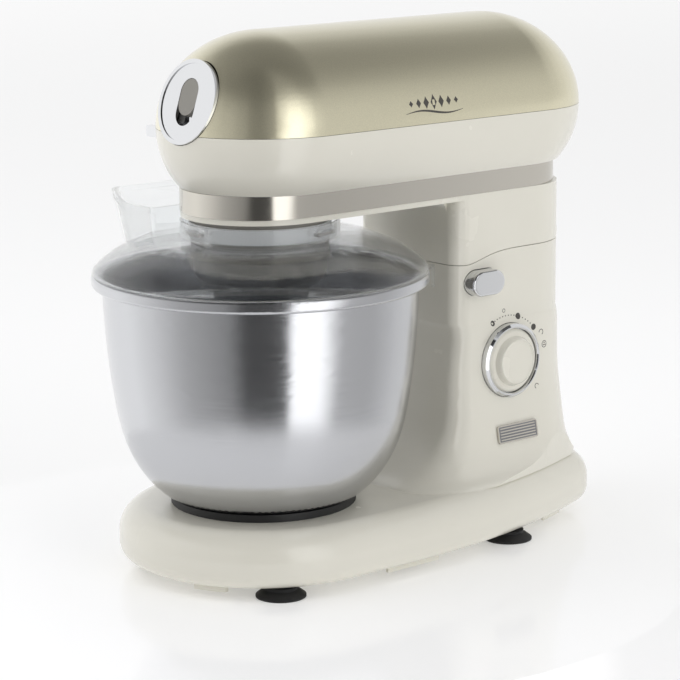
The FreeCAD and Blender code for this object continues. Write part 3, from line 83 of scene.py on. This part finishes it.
def colour_prop(name, text, code):
    return bpy.props.FloatVectorProperty(
        name=name, description=text, default=linear(code), subtype="COLOR", size=3, min=0, max=1)


def length_prop(name, text, millimetres):
    return bpy.props.FloatProperty(
        name=name, description=text, default=millimetres * MM, unit="LENGTH", precision=5)


class MixerColours(bpy.types.PropertyGroup):
    ivory: colour_prop("Ivory", "Moulded base, neck and lower head", "#E8E5D9")
    champagne: colour_prop("Champagne", "Lacquered cover on top of the head", "#E6E0C4")
    steel: colour_prop("Steel", "Polished stainless bowl", "#C6C7CA")
    chrome: colour_prop("Chrome", "Plated trim", "#DCDDDF")
    strip: colour_prop("Strip", "Polished strip round the arm", "#C9C5BC")
    clear: colour_prop("Clear", "Clear lid and chute", "#F4F7F8")
    black: colour_prop("Black", "Black mouldings and rubber", "#1C1C1D")
    print_ink: colour_prop("Print ink", "Printed dial marks", "#4A4743")
    floor: colour_prop("Floor", "Studio floor", "#F6F6F7")


class DialSizes(bpy.types.PropertyGroup):
    ring_r: length_prop("Dial radius", "Radius of the ring of printed marks", 34.6)
    disc_r: length_prop("Disc radius", "Radius of the large printed discs", 2.5)
    dot_r: length_prop("Dot radius", "Radius of the small printed dots", 0.5)
    ink: length_prop("Ink thickness", "Height of the print above the surface", 0.08)


class StudioSettings(bpy.types.PropertyGroup):
    lens: bpy.props.FloatProperty(name="Lens", description="Focal length on a 36 mm sensor",
                                  default=138.4, min=10)
    key: bpy.props.FloatProperty(name="Key light", description="Power of the large soft light",
                                 default=17.0, subtype="POWER", unit="POWER")
    fill: bpy.props.FloatProperty(name="Fill light", description="Power of the side light",
                                  default=10.0, subtype="POWER", unit="POWER")
    room: bpy.props.FloatProperty(name="Room light", description="Brightness of the surround",
                                  default=1.0, min=0)
    view_deg: bpy.props.FloatProperty(name="View bearing", description="Camera's bearing about Z",
                                      default=-40.2)


# ---------------------------------------------------------------- material helpers
def put(tree, kind, settings=None, links=None):
    """Add a shader node with its settings and the sockets that feed it."""
    shader = tree.nodes.new(kind)
    for key, value in (settings or {}).items():
        if key in shader.inputs:
            shader.inputs[key].default_value = value
        else:
            setattr(shader, key, value)
    for key, socket in (links or {}).items():
        tree.links.new(socket, shader.inputs[key])
    return shader


def new_material(name):
    """Empty node material with a Principled shader; returns it, its tree and the shader."""
    material = bpy.data.materials.new(name)
    material.use_nodes = True
    tree = material.node_tree
    tree.nodes.clear()
    shader = put(tree, "ShaderNodeBsdfPrincipled")
    put(tree, "ShaderNodeOutputMaterial", links={"Surface": shader.outputs[0]})
    return material, tree, shader


def rgba(colour, share=1.0):
    return (*[min(1.0, c * share) for c in colour], 1.0)


def grain(tree, size_mm, stretch=(1, 1, 1), detail=3.0, roughness=0.55):
    """Noise on Object coordinates whose features are about size_mm across."""
    place = put(tree, "ShaderNodeTexCoord")
    mapping = put(tree, "ShaderNodeMapping", {"Scale": stretch},
                  {"Vector": place.outputs["Object"]})
    return put(tree, "ShaderNodeTexNoise",
               {"Scale": 1000.0 / size_mm, "Detail": detail, "Roughness": roughness},
               {"Vector": mapping.outputs[0]})


def spread(tree, source, low, high):
    """Map a noise factor on to a range of values."""
    return put(tree, "ShaderNodeMapRange",
               {"From Min": 0.3, "From Max": 0.7, "To Min": low, "To Max": high},
               {"Value": source.outputs[0]})


def tint(tree, source, colour, dark, light):
    """Blend between a darker and a lighter version of a colour."""
    mix = put(tree, "ShaderNodeMix", {"data_type": "RGBA"})
    mix.inputs[6].default_value = rgba(colour, dark)
    mix.inputs[7].default_value = rgba(colour, light)
    tree.links.new(source.outputs[0], mix.inputs[0])
    return mix.outputs[2]


def relief(tree, source, height_mm, strength=1.0):
    return put(tree, "ShaderNodeBump", {"Strength": strength, "Distance": height_mm * MM},
               {"Height": source.outputs[0]})


def moulded(name, colour, rough, pit_mm=0.9, depth_mm=0.01, coat=0.0, shade=0.04):
    """Injection moulding: faint flow clouds, fine surface pits and a little uneven gloss."""
    material, tree, shader = new_material(name)
    clouds = grain(tree, 38.0)
    pits = grain(tree, pit_mm, detail=2.0)
    tree.links.new(tint(tree, clouds, colour, 1 - shade, 1 + shade), shader.inputs["Base Color"])
    tree.links.new(spread(tree, clouds, rough * 0.85, rough * 1.15).outputs[0],
                   shader.inputs["Roughness"])
    tree.links.new(relief(tree, pits, depth_mm).outputs[0], shader.inputs["Normal"])
    shader.inputs["Coat Weight"].default_value = coat
    shader.inputs["Coat Roughness"].default_value = 0.06
    return material


def metal(name, colour, rough, stretch=(1, 1, 1), line_mm=1.2, depth_mm=0.003, shade=0.03,
          directional=0.0):
    """Metal whose fine finish runs along the axis that the stretch leaves long."""
    material, tree, shader = new_material(name)
    lines = grain(tree, line_mm, stretch, detail=4.0, roughness=0.6)
    marks = grain(tree, 24.0)
    tree.links.new(tint(tree, marks, colour, 1 - shade, 1.0), shader.inputs["Base Color"])
    tree.links.new(spread(tree, lines, rough * 0.75, rough * 1.25).outputs[0],
                   shader.inputs["Roughness"])
    tree.links.new(relief(tree, lines, depth_mm).outputs[0], shader.inputs["Normal"])
    shader.inputs["Metallic"].default_value = 1.0
    shader.inputs["Anisotropic"].default_value = directional
    return material


def lacquered(name, colour):
    """Sprayed metallic lacquer: tiny flakes under a clear coat with a trace of orange peel."""
    material, tree, shader = new_material(name)
    place = put(tree, "ShaderNodeTexCoord")
    flakes = put(tree, "ShaderNodeTexVoronoi", {"Scale": 1000.0 / 0.35},
                 {"Vector": place.outputs["Object"]})
    peel = grain(tree, 2.2, detail=1.0)
    flake_share = put(tree, "ShaderNodeMapRange", {"To Min": 0.0, "To Max": 1.0},
                      {"Value": flakes.outputs["Color"]})
    tree.links.new(tint(tree, flake_share, colour, 0.93, 1.08), shader.inputs["Base Color"])
    tree.links.new(relief(tree, peel, 0.006).outputs[0], shader.inputs["Coat Normal"])
    shader.inputs["Metallic"].default_value = 0.88
    shader.inputs["Roughness"].default_value = 0.3
    shader.inputs["Coat Weight"].default_value = 0.6
    shader.inputs["Coat Roughness"].default_value = 0.03
    return material


def clear_moulding(name, colour):
    """Clear moulded plastic: polished tool surface with faint haze, half of it see-through."""
    material, tree, shader = new_material(name)
    haze = grain(tree, 12.0)
    tree.links.new(spread(tree, haze, 0.0, 0.02).outputs[0], shader.inputs["Roughness"])
    tree.links.new(tint(tree, haze, colour, 0.985, 1.0), shader.inputs["Base Color"])
    shader.inputs["Transmission Weight"].default_value = 1.0
    shader.inputs["IOR"].default_value = 1.45
    shader.inputs["Alpha"].default_value = 0.5
    return material


def ink(name, colour):
    """Pad-printed ink: matt, slightly uneven."""
    material, tree, shader = new_material(name)
    patches = grain(tree, 0.4)
    tree.links.new(tint(tree, patches, colour, 0.85, 1.1), shader.inputs["Base Color"])
    shader.inputs["Roughness"].default_value = 0.6
    return material


def make_finishes():
    """Every finish of the mixer by its material slot."""
    c = bpy.context.scene.mixer_colours
    return {
        # glossy injection-moulded shells, ivory
        "ivory_plastic": moulded("Ivory gloss ABS moulding", c.ivory, 0.24, coat=0.35, shade=0.015),
        # sprayed and baked metallic lacquer
        "champagne_paint": lacquered("Champagne baked lacquer", c.champagne),
        # bright nickel-chrome plating on moulded trim
        "polished_chrome": metal("Bright chrome plating", c.chrome, 0.05, line_mm=12.0,
                                 depth_mm=0.0002, shade=0.01),
        # spun stainless, polished with a ring-wise grain
        "polished_steel": metal("Spun polished stainless", c.steel, 0.2, (0.01, 0.01, 1.0), 0.4,
                                0.00015, 0.01),
        # rolled stainless strip, polished lengthwise
        "band_metal": metal("Polished rolled strip", c.strip, 0.16, (0.03, 0.03, 1.0), 0.4, 0.0004),
        # clear SAN moulding
        "clear_plastic": clear_moulding("Clear SAN moulding", c.clear),
        # glass-filled nylon, black, fine spark texture
        "dark_plastic": moulded("Black textured nylon", c.black, 0.5, 0.5, 0.02),
        "grey_plastic": moulded("Grey satin moulding", linear("#8E8B84"), 0.35, 0.7, 0.012),
        "hub_grey": moulded("Dark hub moulding", linear("#4A4C4F"), 0.4, 0.6, 0.015),
        # compression-moulded rubber
        "rubber": moulded("Moulded black rubber", linear("#151516"), 0.68, 0.35, 0.03),
        "zinc_steel": metal("Zinc-plated steel", linear("#B9BBBD"), 0.32, line_mm=0.8),
        "ground_steel": metal("Ground steel bar", linear("#B2B4B7"), 0.22, (1, 1, 12), 0.5),
        "die_cast": metal("Die-cast alloy", linear("#A9ABAE"), 0.48, line_mm=0.9, depth_mm=0.02),
        "lamination": metal("Stacked electrical steel", linear("#5C5E62"), 0.45,
                            (0.05, 0.05, 2.0), 0.5, 0.03),
        "copper": metal("Enamelled copper wire", linear("#B4683A"), 0.28, (0.3, 2.0, 2.0), 0.6,
                        0.05),
        "gear_nylon": moulded("Natural nylon", linear("#E4DFCB"), 0.45, 0.8, 0.01),
        "circuit_board": moulded("Green solder mask", linear("#2C6B45"), 0.35, 3.0, 0.03),
        "bearing_bronze": metal("Sintered bronze", linear("#A9824E"), 0.5, line_mm=0.3,
                                depth_mm=0.02),
        "print_ink": ink("Pad-printed ink", c.print_ink),
        # pale off-white sleeve on the housing's top: painted highlight where light falls above the
        # lid
        "painted_highlight_white": moulded("Off-white painted highlight sleeve", linear("#E4E5E6"), 0.5, 0.8, 0.01),
        # stove enamel filled into the badge's recess
        "badge_enamel": moulded("Grey badge enamel", linear("#77777A"), 0.3, 0.5, 0.004),
    }


FINISHES = {}


# ---------------------------------------------------------------- mesh helpers
def finish_mesh(bm, name):
    mesh = bpy.data.meshes.new(name)
    bm.to_mesh(mesh)
    bm.free()
    piece = bpy.data.objects.new(name, mesh)
    bpy.context.scene.collection.objects.link(piece)
    return piece


def smooth_skin(name, node, angle_deg, flat_along=None):
    """Merged, smooth-shaded copy of a CAD node that stands for it. Faces square to the axes, and
    those square to flat_along, stay flat."""
    source = frame["nodes"][node]
    bm = bmesh.new()
    bm.from_mesh(source.data)
    bmesh.ops.remove_doubles(bm, verts=bm.verts, dist=2e-6)
    bmesh.ops.dissolve_degenerate(bm, edges=bm.edges, dist=1e-7)
    piece = finish_mesh(bm, name)
    stored = piece.data.attributes.get("custom_normal")
    if stored:
        piece.data.attributes.remove(stored)
    for polygon in piece.data.polygons:
        facing = max(abs(part) for part in polygon.normal)
        if flat_along:
            facing = max(facing, abs(polygon.normal.dot(flat_along)))
        polygon.use_smooth = facing < 0.99999
    piece.data.set_sharp_from_angle(angle=math.radians(angle_deg))
    piece.data.materials.clear()
    slot = next(s["material_slot"] for s in frame["record"]["subparts"] if s["node"] == node)
    piece.data.materials.append(FINISHES[slot])
    if not flat_along:
        weighted = piece.modifiers.new("Face weighting", "WEIGHTED_NORMAL")
        weighted.keep_sharp = True
        weighted.weight = 80
    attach(piece, source["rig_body"])
    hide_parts(node)
    return piece


def surface_of(node):
    """Search tree over the outside of a CAD node."""
    mesh = frame["nodes"][node].data
    return BVHTree.FromPolygons([v.co for v in mesh.vertices],
                                [tuple(p.vertices) for p in mesh.polygons])


def on_flank(tree, y, z, lift):
    """Point on the +X side of a surface at (y, z), raised by lift along the surface's normal."""
    place, normal, _, _ = tree.ray_cast(Vector((0.3, y, z)), Vector((-1, 0, 0)))
    if normal.x < 0:
        normal.negate()
    return place + normal * lift


def printed_patch(bm, tree, outline, ink_height):
    """Closed flake of ink that follows the surface, from its outline in (y, z)."""
    low = [bm.verts.new(on_flank(tree, y, z, -0.03 * MM)) for y, z in outline]
    high = [bm.verts.new(on_flank(tree, y, z, ink_height)) for y, z in outline]
    bm.faces.new(high)
    bm.faces.new(reversed(low))
    for i in range(len(outline)):
        j = (i + 1) % len(outline)
        bm.faces.new((low[i], low[j], high[j], high[i]))


def printed_disc(bm, tree, y, z, radius, ink_height, sides=20):
    turns = [2 * math.pi * i / sides for i in range(sides)]
    printed_patch(bm, tree, [(y + radius * math.cos(a), z + radius * math.sin(a)) for a in turns],
                  ink_height)


def printed_line(bm, tree, points, widths, ink_height):
    """Printed stroke along a path in (y, z), made of short flakes with the given widths."""
    sides = []
    for i, (y, z) in enumerate(points):
        y0, z0 = points[max(0, i - 1)]
        y1, z1 = points[min(len(points) - 1, i + 1)]
        run = math.hypot(y1 - y0, z1 - z0)
        across = (-(z1 - z0) / run * widths[i] / 2, (y1 - y0) / run * widths[i] / 2)
        sides.append(((y + across[0], z + across[1]), (y - across[0], z - across[1])))
    outline = [left for left, _ in sides] + [right for _, right in reversed(sides)]
    count = len(points)
    low = [bm.verts.new(on_flank(tree, y, z, -0.03 * MM)) for y, z in outline]
    high = [bm.verts.new(on_flank(tree, y, z, ink_height)) for y, z in outline]
    for i in range(count - 1):
        a, b, c, d = i, i + 1, 2 * count - 2 - i, 2 * count - 1 - i
        bm.faces.new((high[a], high[b], high[c], high[d]))
        bm.faces.new((low[d], low[c], low[b], low[a]))
    for i in range(2 * count):
        j = (i + 1) % (2 * count)
        bm.faces.new((low[i], low[j], high[j], high[i]))


def printed_piece(bm, name, body):
    bmesh.ops.recalc_face_normals(bm, faces=bm.faces)
    piece = finish_mesh(bm, name)
    piece.data.materials.append(FINISHES["print_ink"])
    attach(piece, body)
    return piece


# ---------------------------------------------------------------- operators
class MIXER_OT_finishes(bpy.types.Operator):
    """Give every CAD node the procedural finish of its material slot"""
    bl_idname = "mixer.finishes"
    bl_label = "Finishes"

    def execute(self, context):
        FINISHES.update(make_finishes())
        slots = {s["node"]: s["material_slot"] for s in frame["record"]["subparts"]}
        for name, piece in frame["nodes"].items():
            for material_slot in piece.material_slots:
                material_slot.material = FINISHES[slots[name]]
        return {"FINISHED"}


class MIXER_OT_shells(bpy.types.Operator):
    """Moulded shells of the base, neck and head"""
    bl_idname = "mixer.shells"
    bl_label = "Moulded shells"

    def execute(self, context):
        smooth_skin("base_moulding", "base_shell", 38)
        smooth_skin("neck_moulding", "arm_cover", 38)
        smooth_skin("lower_head_moulding", "head_lower_shell", 38)
        smooth_skin("top_head_cover", "head_top_shell", 38)
        smooth_skin("arm_strip", "side_band", 38)
        smooth_skin("underside_cover", "base_plate", 38)
        smooth_skin("gear_cup", "gear_housing", 38)
        smooth_skin("tool_hub", "planet_carrier", 38)
        return {"FINISHED"}


class MIXER_OT_bowl(bpy.types.Operator):
    """Steel bowl with its foot, and the ring that it stands in"""
    bl_idname = "mixer.bowl"
    bl_label = "Bowl"

    def execute(self, context):
        smooth_skin("steel_bowl", "bowl", 42)
        smooth_skin("bowl_foot_ring", "bowl_foot", 38)
        smooth_skin("bowl_seat", "bowl_seat_ring", 38)
        return {"FINISHED"}


class MIXER_OT_lid(bpy.types.Operator):
    """Clear splash lid and its feed chute"""
    bl_idname = "mixer.lid"
    bl_label = "Lid and chute"

    def execute(self, context):
        smooth_skin("clear_lid", "splash_lid", 32)
        smooth_skin("clear_chute", "feed_chute", 32)
        # pale sleeve that paints the light falling on the housing's top
        self.painted_highlight_sleeve()
        return {"FINISHED"}

    def painted_highlight_sleeve(self):
        """Pale sleeve on the gear housing, seen through the lid's collar: painted highlight standing
        for the light on the housing's top above the lid.
        """
        low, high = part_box("planet_carrier")
        middle = Vector(((low.x + high.x) / 2, (low.y + high.y) / 2, 0.0))
        bm = bmesh.new()
        profile = ((51.1, 250.8), (52.6, 250.8), (52.6, 262.2), (51.1, 262.2))
        start = [bm.verts.new(middle + Vector((r, 0, z)) * MM) for r, z in profile]
        ring = bm.faces.new(start)
        bmesh.ops.spin(bm, geom=[ring, *ring.edges, *ring.verts], cent=middle, axis=(0, 0, 1),
                       angle=2 * math.pi, steps=96, use_merge=True, use_normal_flip=False)
        bmesh.ops.delete(bm, geom=[ring], context="FACES_ONLY")
        bmesh.ops.remove_doubles(bm, verts=bm.verts, dist=1e-6)
        bmesh.ops.recalc_face_normals(bm, faces=bm.faces)
        # off-white sleeve: painted highlight on the housing above the lid
        piece = finish_mesh(bm, "housing_painted_highlight")
        piece.data.materials.append(FINISHES["painted_highlight_white"])
        for polygon in piece.data.polygons:
            polygon.use_smooth = True
        piece.data.set_sharp_from_angle(angle=math.radians(40))
        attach(piece, "head")


class MIXER_OT_controls(bpy.types.Operator):
    """Dial, buttons, front cap and feet"""
    bl_idname = "mixer.controls"
    bl_label = "Controls and feet"

    def execute(self, context):
        smooth_skin("dial_ring", "knob_bezel", 38)
        smooth_skin("dial_knob", "speed_knob", 38)
        smooth_skin("tilt_button_cap", "release_button", 38)
        tilt = math.radians(18)
        smooth_skin("outlet_cap", "front_cap", 30, Vector((0, -math.cos(tilt), math.sin(tilt))))
        smooth_skin("outlet_slide", "cap_tab", 38)
        smooth_skin("outlet_catch", "nose_button", 38)
        smooth_skin("rubber_feet", "suction_feet", 38)
        self.enamel()
        return {"FINISHED"}

    def enamel(self):
        """Enamel in the badge's recess, lower than the rim and the ribs."""
        low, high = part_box("badge_plate")
        faces = frame["nodes"]["badge_plate"].data.polygons
        outward = max((f for f in faces if f.normal.x > 0.5), key=lambda f: f.area).normal
        across = Vector((0, 1, 0))
        up = outward.cross(across)
        half_w, half_h = (high.y - low.y) / 2 - 1.1 * MM, 5.9 * MM
        middle = (low + high) / 2
        bm = bmesh.new()
        bmesh.ops.create_cube(bm, size=1.0)
        size = Matrix.Diagonal((0.4 * MM, 2 * half_w, 2 * half_h, 1))
        turn = Matrix((outward, across, up)).transposed().to_4x4()
        bm.transform(Matrix.Translation(middle + outward * 0.26 * MM) @ turn @ size)
        bmesh.ops.recalc_face_normals(bm, faces=bm.faces)
        piece = finish_mesh(bm, "badge_filling")
        piece.data.materials.append(FINISHES["badge_enamel"])
        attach(piece, "stand")


class MIXER_OT_dial_marks(bpy.types.Operator):
    """Printed discs, dots and signs round the dial, and the ornament on the head"""
    bl_idname = "mixer.dial_marks"
    bl_label = "Printed marks"

    def execute(self, context):
        self.dial(context.scene.mixer_dial)
        self.ornament(context.scene.mixer_dial.ink)
        return {"FINISHED"}

    def dial(self, sizes):
        """Speed scale, with a ring at zero, and two plain signs beside it."""
        low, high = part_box("speed_knob")
        middle_y, middle_z = (low.y + high.y) / 2, (low.z + high.z) / 2
        flank = surface_of("base_shell")
        bm = bmesh.new()

        def place(angle_deg, reach=1.0):
            turn = math.radians(angle_deg)
            return (middle_y + sizes.ring_r * reach * math.sin(turn),
                    middle_z + sizes.ring_r * reach * math.cos(turn))

        def ring(centre, radius, width, start_deg=0, sweep_deg=360, steps=24):
            turns = [math.radians(start_deg + sweep_deg * i / steps) for i in range(steps + 1)]
            path = [(centre[0] + radius * math.cos(a), centre[1] + radius * math.sin(a))
                    for a in turns]
            if sweep_deg >= 360:
                path = path[:-1]
                halves = [path[:steps // 2 + 1], path[steps // 2:] + path[:1]]
                for half in halves:
                    printed_line(bm, flank, half, [width] * len(half), sizes.ink)
            else:
                printed_line(bm, flank, path, [width] * len(path), sizes.ink)

        for angle in (-28, 19, 50):
            printed_disc(bm, flank, *place(angle), sizes.disc_r * (0.85 if angle < 0 else 1),
                         sizes.ink)
        for step in range(-23, 48, 5):
            if abs(step - 19) > 4:
                printed_disc(bm, flank, *place(step), sizes.dot_r, sizes.ink, 10)
        ring(place(-5.5, 1.13), sizes.disc_r * 0.55, 0.45 * MM)
        ring(place(64, 1.12), sizes.disc_r * 0.9, 0.55 * MM, -60, 240)
        ring(place(80, 1.14), sizes.disc_r * 1.05, 0.5 * MM)
        for turn in (90, 210, 330):
            y, z = place(80, 1.14)
            printed_disc(bm, flank, y + 1.1 * MM * math.cos(math.radians(turn)),
                         z + 1.1 * MM * math.sin(math.radians(turn)), 0.6 * MM, sizes.ink, 10)
        ring(place(131, 1.1), sizes.disc_r * 0.8, 0.5 * MM, 20, 220)
        printed_piece(bm, "dial_print", "stand")

    def ornament(self, ink_height):
        """Plain ornament on the cover's flank: a tapering wave under three lozenges."""
        cover = surface_of("head_top_shell")
        low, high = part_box("head_top_shell")
        middle_y, middle_z, half = 0.0155, 0.3445, 28 * MM
        bm = bmesh.new()
        share = [i / 32 for i in range(33)]
        wave = [(middle_y + half * (2 * t - 1),
                 middle_z - 5.0 * MM + 1.6 * MM * math.sin(2 * math.pi * t)) for t in share]
        printed_line(bm, cover, wave, [(0.25 + 1.3 * math.sin(math.pi * t)) * MM for t in share],
                     ink_height)
        for k in range(-3, 4):
            tall = (5.6 - abs(k) * 1.1) * MM
            wide = (3.0 - abs(k) * 0.35) * MM
            y, z = middle_y + k * 7.4 * MM, middle_z + 2.0 * MM
            printed_patch(bm, cover, [(y + wide, z), (y + wide * 0.35, z + tall * 0.6), (y, z + tall),
                                      (y - wide * 0.35, z + tall * 0.6), (y - wide, z),
                                      (y - wide * 0.35, z - tall * 0.6), (y, z - tall),
                                      (y + wide * 0.35, z - tall * 0.6)], ink_height)
        printed_piece(bm, "head_ornament", "head")


class MIXER_OT_studio(bpy.types.Operator):
    """Pale floor, soft lights, white room and the camera"""
    bl_idname = "mixer.studio"
    bl_label = "Studio"

    def execute(self, context):
        settings = context.scene.mixer_studio
        bm = bmesh.new()
        bmesh.ops.create_grid(bm, x_segments=1, y_segments=1, size=6.0)
        floor = finish_mesh(bm, "studio_floor")
        material, tree, shader = new_material("Pale gloss floor")
        cloud = grain(tree, 300.0)
        tree.links.new(tint(tree, cloud, context.scene.mixer_colours.floor, 0.995, 1.0),
                       shader.inputs["Base Color"])
        shader.inputs["Roughness"].default_value = 0.1
        shader.inputs["Specular IOR Level"].default_value = 0.35
        shader.inputs["Emission Color"].default_value = (1, 1, 1, 1)
        shader.inputs["Emission Strength"].default_value = 0.22
        floor.data.materials.append(material)
        self.light("Key", (-0.6, -1.7, 1.7), 2.4, settings.key, (0, 0, 0.2))
        self.light("Fill", (2.0, 0.7, 1.3), 2.4, settings.fill, (0, 0, 0.2))
        self.light("Top", (0.2, 0.1, 2.4), 2.6, settings.key, (0, 0, 0.2))
        self.surround(settings)
        self.reflector(settings)
        context.scene.view_settings.view_transform = "Standard"
        self.camera(settings.lens)
        return {"FINISHED"}

    def surround(self, settings):
        """Room seen in the reflections: white behind the mixer and low down, a greyer ceiling,
        a dark gap at the camera with a bright panel to the right of it."""
        world = bpy.data.worlds.new("Studio surround")
        world.use_nodes = True
        tree = world.node_tree
        tree.nodes.clear()
        place = put(tree, "ShaderNodeTexCoord")
        turned = put(tree, "ShaderNodeVectorRotate", {"rotation_type": "Z_AXIS"},
                     {"Vector": place.outputs["Generated"]})
        turned.inputs["Angle"].default_value = -math.radians(settings.view_deg)
        parts = put(tree, "ShaderNodeSeparateXYZ", links={"Vector": turned.outputs[0]})
        bearing = put(tree, "ShaderNodeMath", {"operation": "ARCTAN2"},
                      {0: parts.outputs["Y"], 1: parts.outputs["X"]})
        round_share = put(tree, "ShaderNodeMapRange", {"From Min": -math.pi, "From Max": math.pi},
                          {"Value": bearing.outputs[0]})
        height_share = put(tree, "ShaderNodeMapRange", {"From Min": -1.0, "From Max": 1.0},
                           {"Value": parts.outputs["Z"]})
        around = self.ramp(tree, round_share, AROUND, lambda deg: deg / 360 + 0.5)
        upward = self.ramp(tree, height_share, [
            (-1.0, 0.9), (0.0, 1.0), (0.35, 0.95), (0.55, 0.74), (0.75, 0.2), (1.0, 0.1)],
            lambda rise: rise / 2 + 0.5)
        product = put(tree, "ShaderNodeMath", {"operation": "MULTIPLY"},
                      {0: around.outputs[0], 1: upward.outputs[0]})
        path = put(tree, "ShaderNodeLightPath")
        strength = put(tree, "ShaderNodeMix", {"data_type": "FLOAT"},
                       {0: path.outputs["Is Camera Ray"], 2: product.outputs[0]})
        strength.inputs[3].default_value = 1.0
        background = put(tree, "ShaderNodeBackground", {"Color": (1, 1, 1, 1)},
                         {"Strength": strength.outputs[0]})
        put(tree, "ShaderNodeOutputWorld", links={"Surface": background.outputs[0]})
        bpy.context.scene.world = world

    def reflector(self, settings):
        """Low wall round the mixer with the room's pattern on it, seen only in reflections."""
        bm = bmesh.new()
        low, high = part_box("bowl")
        middle = Vector(((low.x + high.x) / 2, (low.y + high.y) / 2, 0.0))
        bmesh.ops.create_cone(bm, cap_ends=False, segments=128, radius1=0.32, radius2=0.36,
                              depth=0.34)
        bmesh.ops.translate(bm, verts=bm.verts, vec=middle + Vector((0, 0, 0.171)))
        wall = finish_mesh(bm, "reflector_wall")
        material = bpy.data.materials.new("Printed reflector card")
        material.use_nodes = True
        tree = material.node_tree
        tree.nodes.clear()
        place = put(tree, "ShaderNodeTexCoord")
        centred = put(tree, "ShaderNodeVectorMath", {"operation": "SUBTRACT"},
                      {0: place.outputs["Object"]})
        centred.inputs[1].default_value = middle
        turned = put(tree, "ShaderNodeVectorRotate", {"rotation_type": "Z_AXIS"},
                     {"Vector": centred.outputs[0]})
        turned.inputs["Angle"].default_value = -math.radians(settings.view_deg)
        parts = put(tree, "ShaderNodeSeparateXYZ", links={"Vector": turned.outputs[0]})
        bearing = put(tree, "ShaderNodeMath", {"operation": "ARCTAN2"},
                      {0: parts.outputs["Y"], 1: parts.outputs["X"]})
        share = put(tree, "ShaderNodeMapRange", {"From Min": -math.pi, "From Max": math.pi},
                    {"Value": bearing.outputs[0]})
        nearness = 0.83     # the card stands near, so the bowl sees each bearing further in
        around = self.ramp(tree, share, AROUND,
                           lambda deg: (deg * nearness if abs(deg) < 150 else deg) / 360 + 0.5)
        glow = put(tree, "ShaderNodeEmission", links={"Color": around.outputs[0]})
        put(tree, "ShaderNodeOutputMaterial", links={"Surface": glow.outputs[0]})
        wall.data.materials.append(material)
        wall.visible_camera = wall.visible_diffuse = wall.visible_shadow = False
        wall.visible_transmission = False

    def ramp(self, tree, source, stops, position):
        """Grey ramp through (place, brightness) stops."""
        made = put(tree, "ShaderNodeValToRGB", links={"Fac": source.outputs[0]})
        elements = made.color_ramp.elements
        while len(elements) > 1:
            elements.remove(elements[-1])
        for i, (at, level) in enumerate(stops):
            element = elements[0] if i == 0 else elements.new(position(at))
            element.position = position(at)
            element.color = (level, level, level, 1)
        return made

    def light(self, name, place, size, power, target):
        data = bpy.data.lights.new(name, "AREA")
        data.energy, data.shape, data.size = power, "SQUARE", size
        lamp = bpy.data.objects.new(name, data)
        aim = (Vector(target) - Vector(place)).to_track_quat("-Z", "Y").to_matrix().to_4x4()
        lamp.matrix_world = Matrix.Translation(place) @ aim
        lamp.visible_glossy = False
        bpy.context.scene.collection.objects.link(lamp)

    def camera(self, lens):
        data = bpy.data.cameras.new("View")
        data.lens, data.sensor_width = lens, 36.0
        data.clip_end = 50.0
        camera = bpy.data.objects.new("View", data)
        right, up = Vector((0.6471, 0.7624, -0.0069)), Vector((-0.1539, 0.1395, 0.9782))
        right.normalize()
        back = right.cross(up).normalized()
        up = back.cross(right)
        turn = Matrix((right, up, back)).transposed().to_4x4()
        camera.matrix_world = Matrix.Translation((1.4886, -1.2709, 0.5738)) @ turn
        bpy.context.scene.collection.objects.link(camera)
        bpy.context.scene.camera = camera


# brightness of the room by bearing from the camera, in degrees, anticlockwise from above
AROUND = ((-180, 0.95), (-112, 1.2), (-84, 0.95), (-55, 0.58), (-22, 0.36), (-9, 0.09), (21, 0.09),
          (24, 2.0), (47, 1.85), (62, 0.62), (92, 0.6), (125, 0.85), (180, 0.95))


STEPS = ("finishes", "shells", "bowl", "lid", "controls", "dial_marks", "studio")


class MIXER_PT_panel(bpy.types.Panel):
    """Lists the mixer's pieces and their sizes and colours"""
    bl_idname = "MIXER_PT_panel"
    bl_label = "Stand mixer"
    bl_space_type = "VIEW_3D"
    bl_region_type = "UI"
    bl_category = "Mixer"

    def draw(self, context):
        for step in STEPS:
            self.layout.operator("mixer." + step)
        for group in (context.scene.mixer_colours, context.scene.mixer_dial,
                      context.scene.mixer_studio):
            for key in group.__annotations__:
                self.layout.prop(group, key)


CLASSES = (MixerColours, DialSizes, StudioSettings, MIXER_OT_finishes, MIXER_OT_shells,
           MIXER_OT_bowl, MIXER_OT_lid, MIXER_OT_controls, MIXER_OT_dial_marks, MIXER_OT_studio,
           MIXER_PT_panel)


def register():
    for kind in CLASSES:
        bpy.utils.register_class(kind)
    bpy.types.Scene.mixer_colours = bpy.props.PointerProperty(type=MixerColours)
    bpy.types.Scene.mixer_dial = bpy.props.PointerProperty(type=DialSizes)
    bpy.types.Scene.mixer_studio = bpy.props.PointerProperty(type=StudioSettings)


def unregister():
    del bpy.types.Scene.mixer_studio
    del bpy.types.Scene.mixer_dial
    del bpy.types.Scene.mixer_colours
    for kind in reversed(CLASSES):
        bpy.utils.unregister_class(kind)


def main():
    register()
    for step in STEPS:
        getattr(bpy.ops.mixer, step)()


if __name__ == "__main__":
    main()
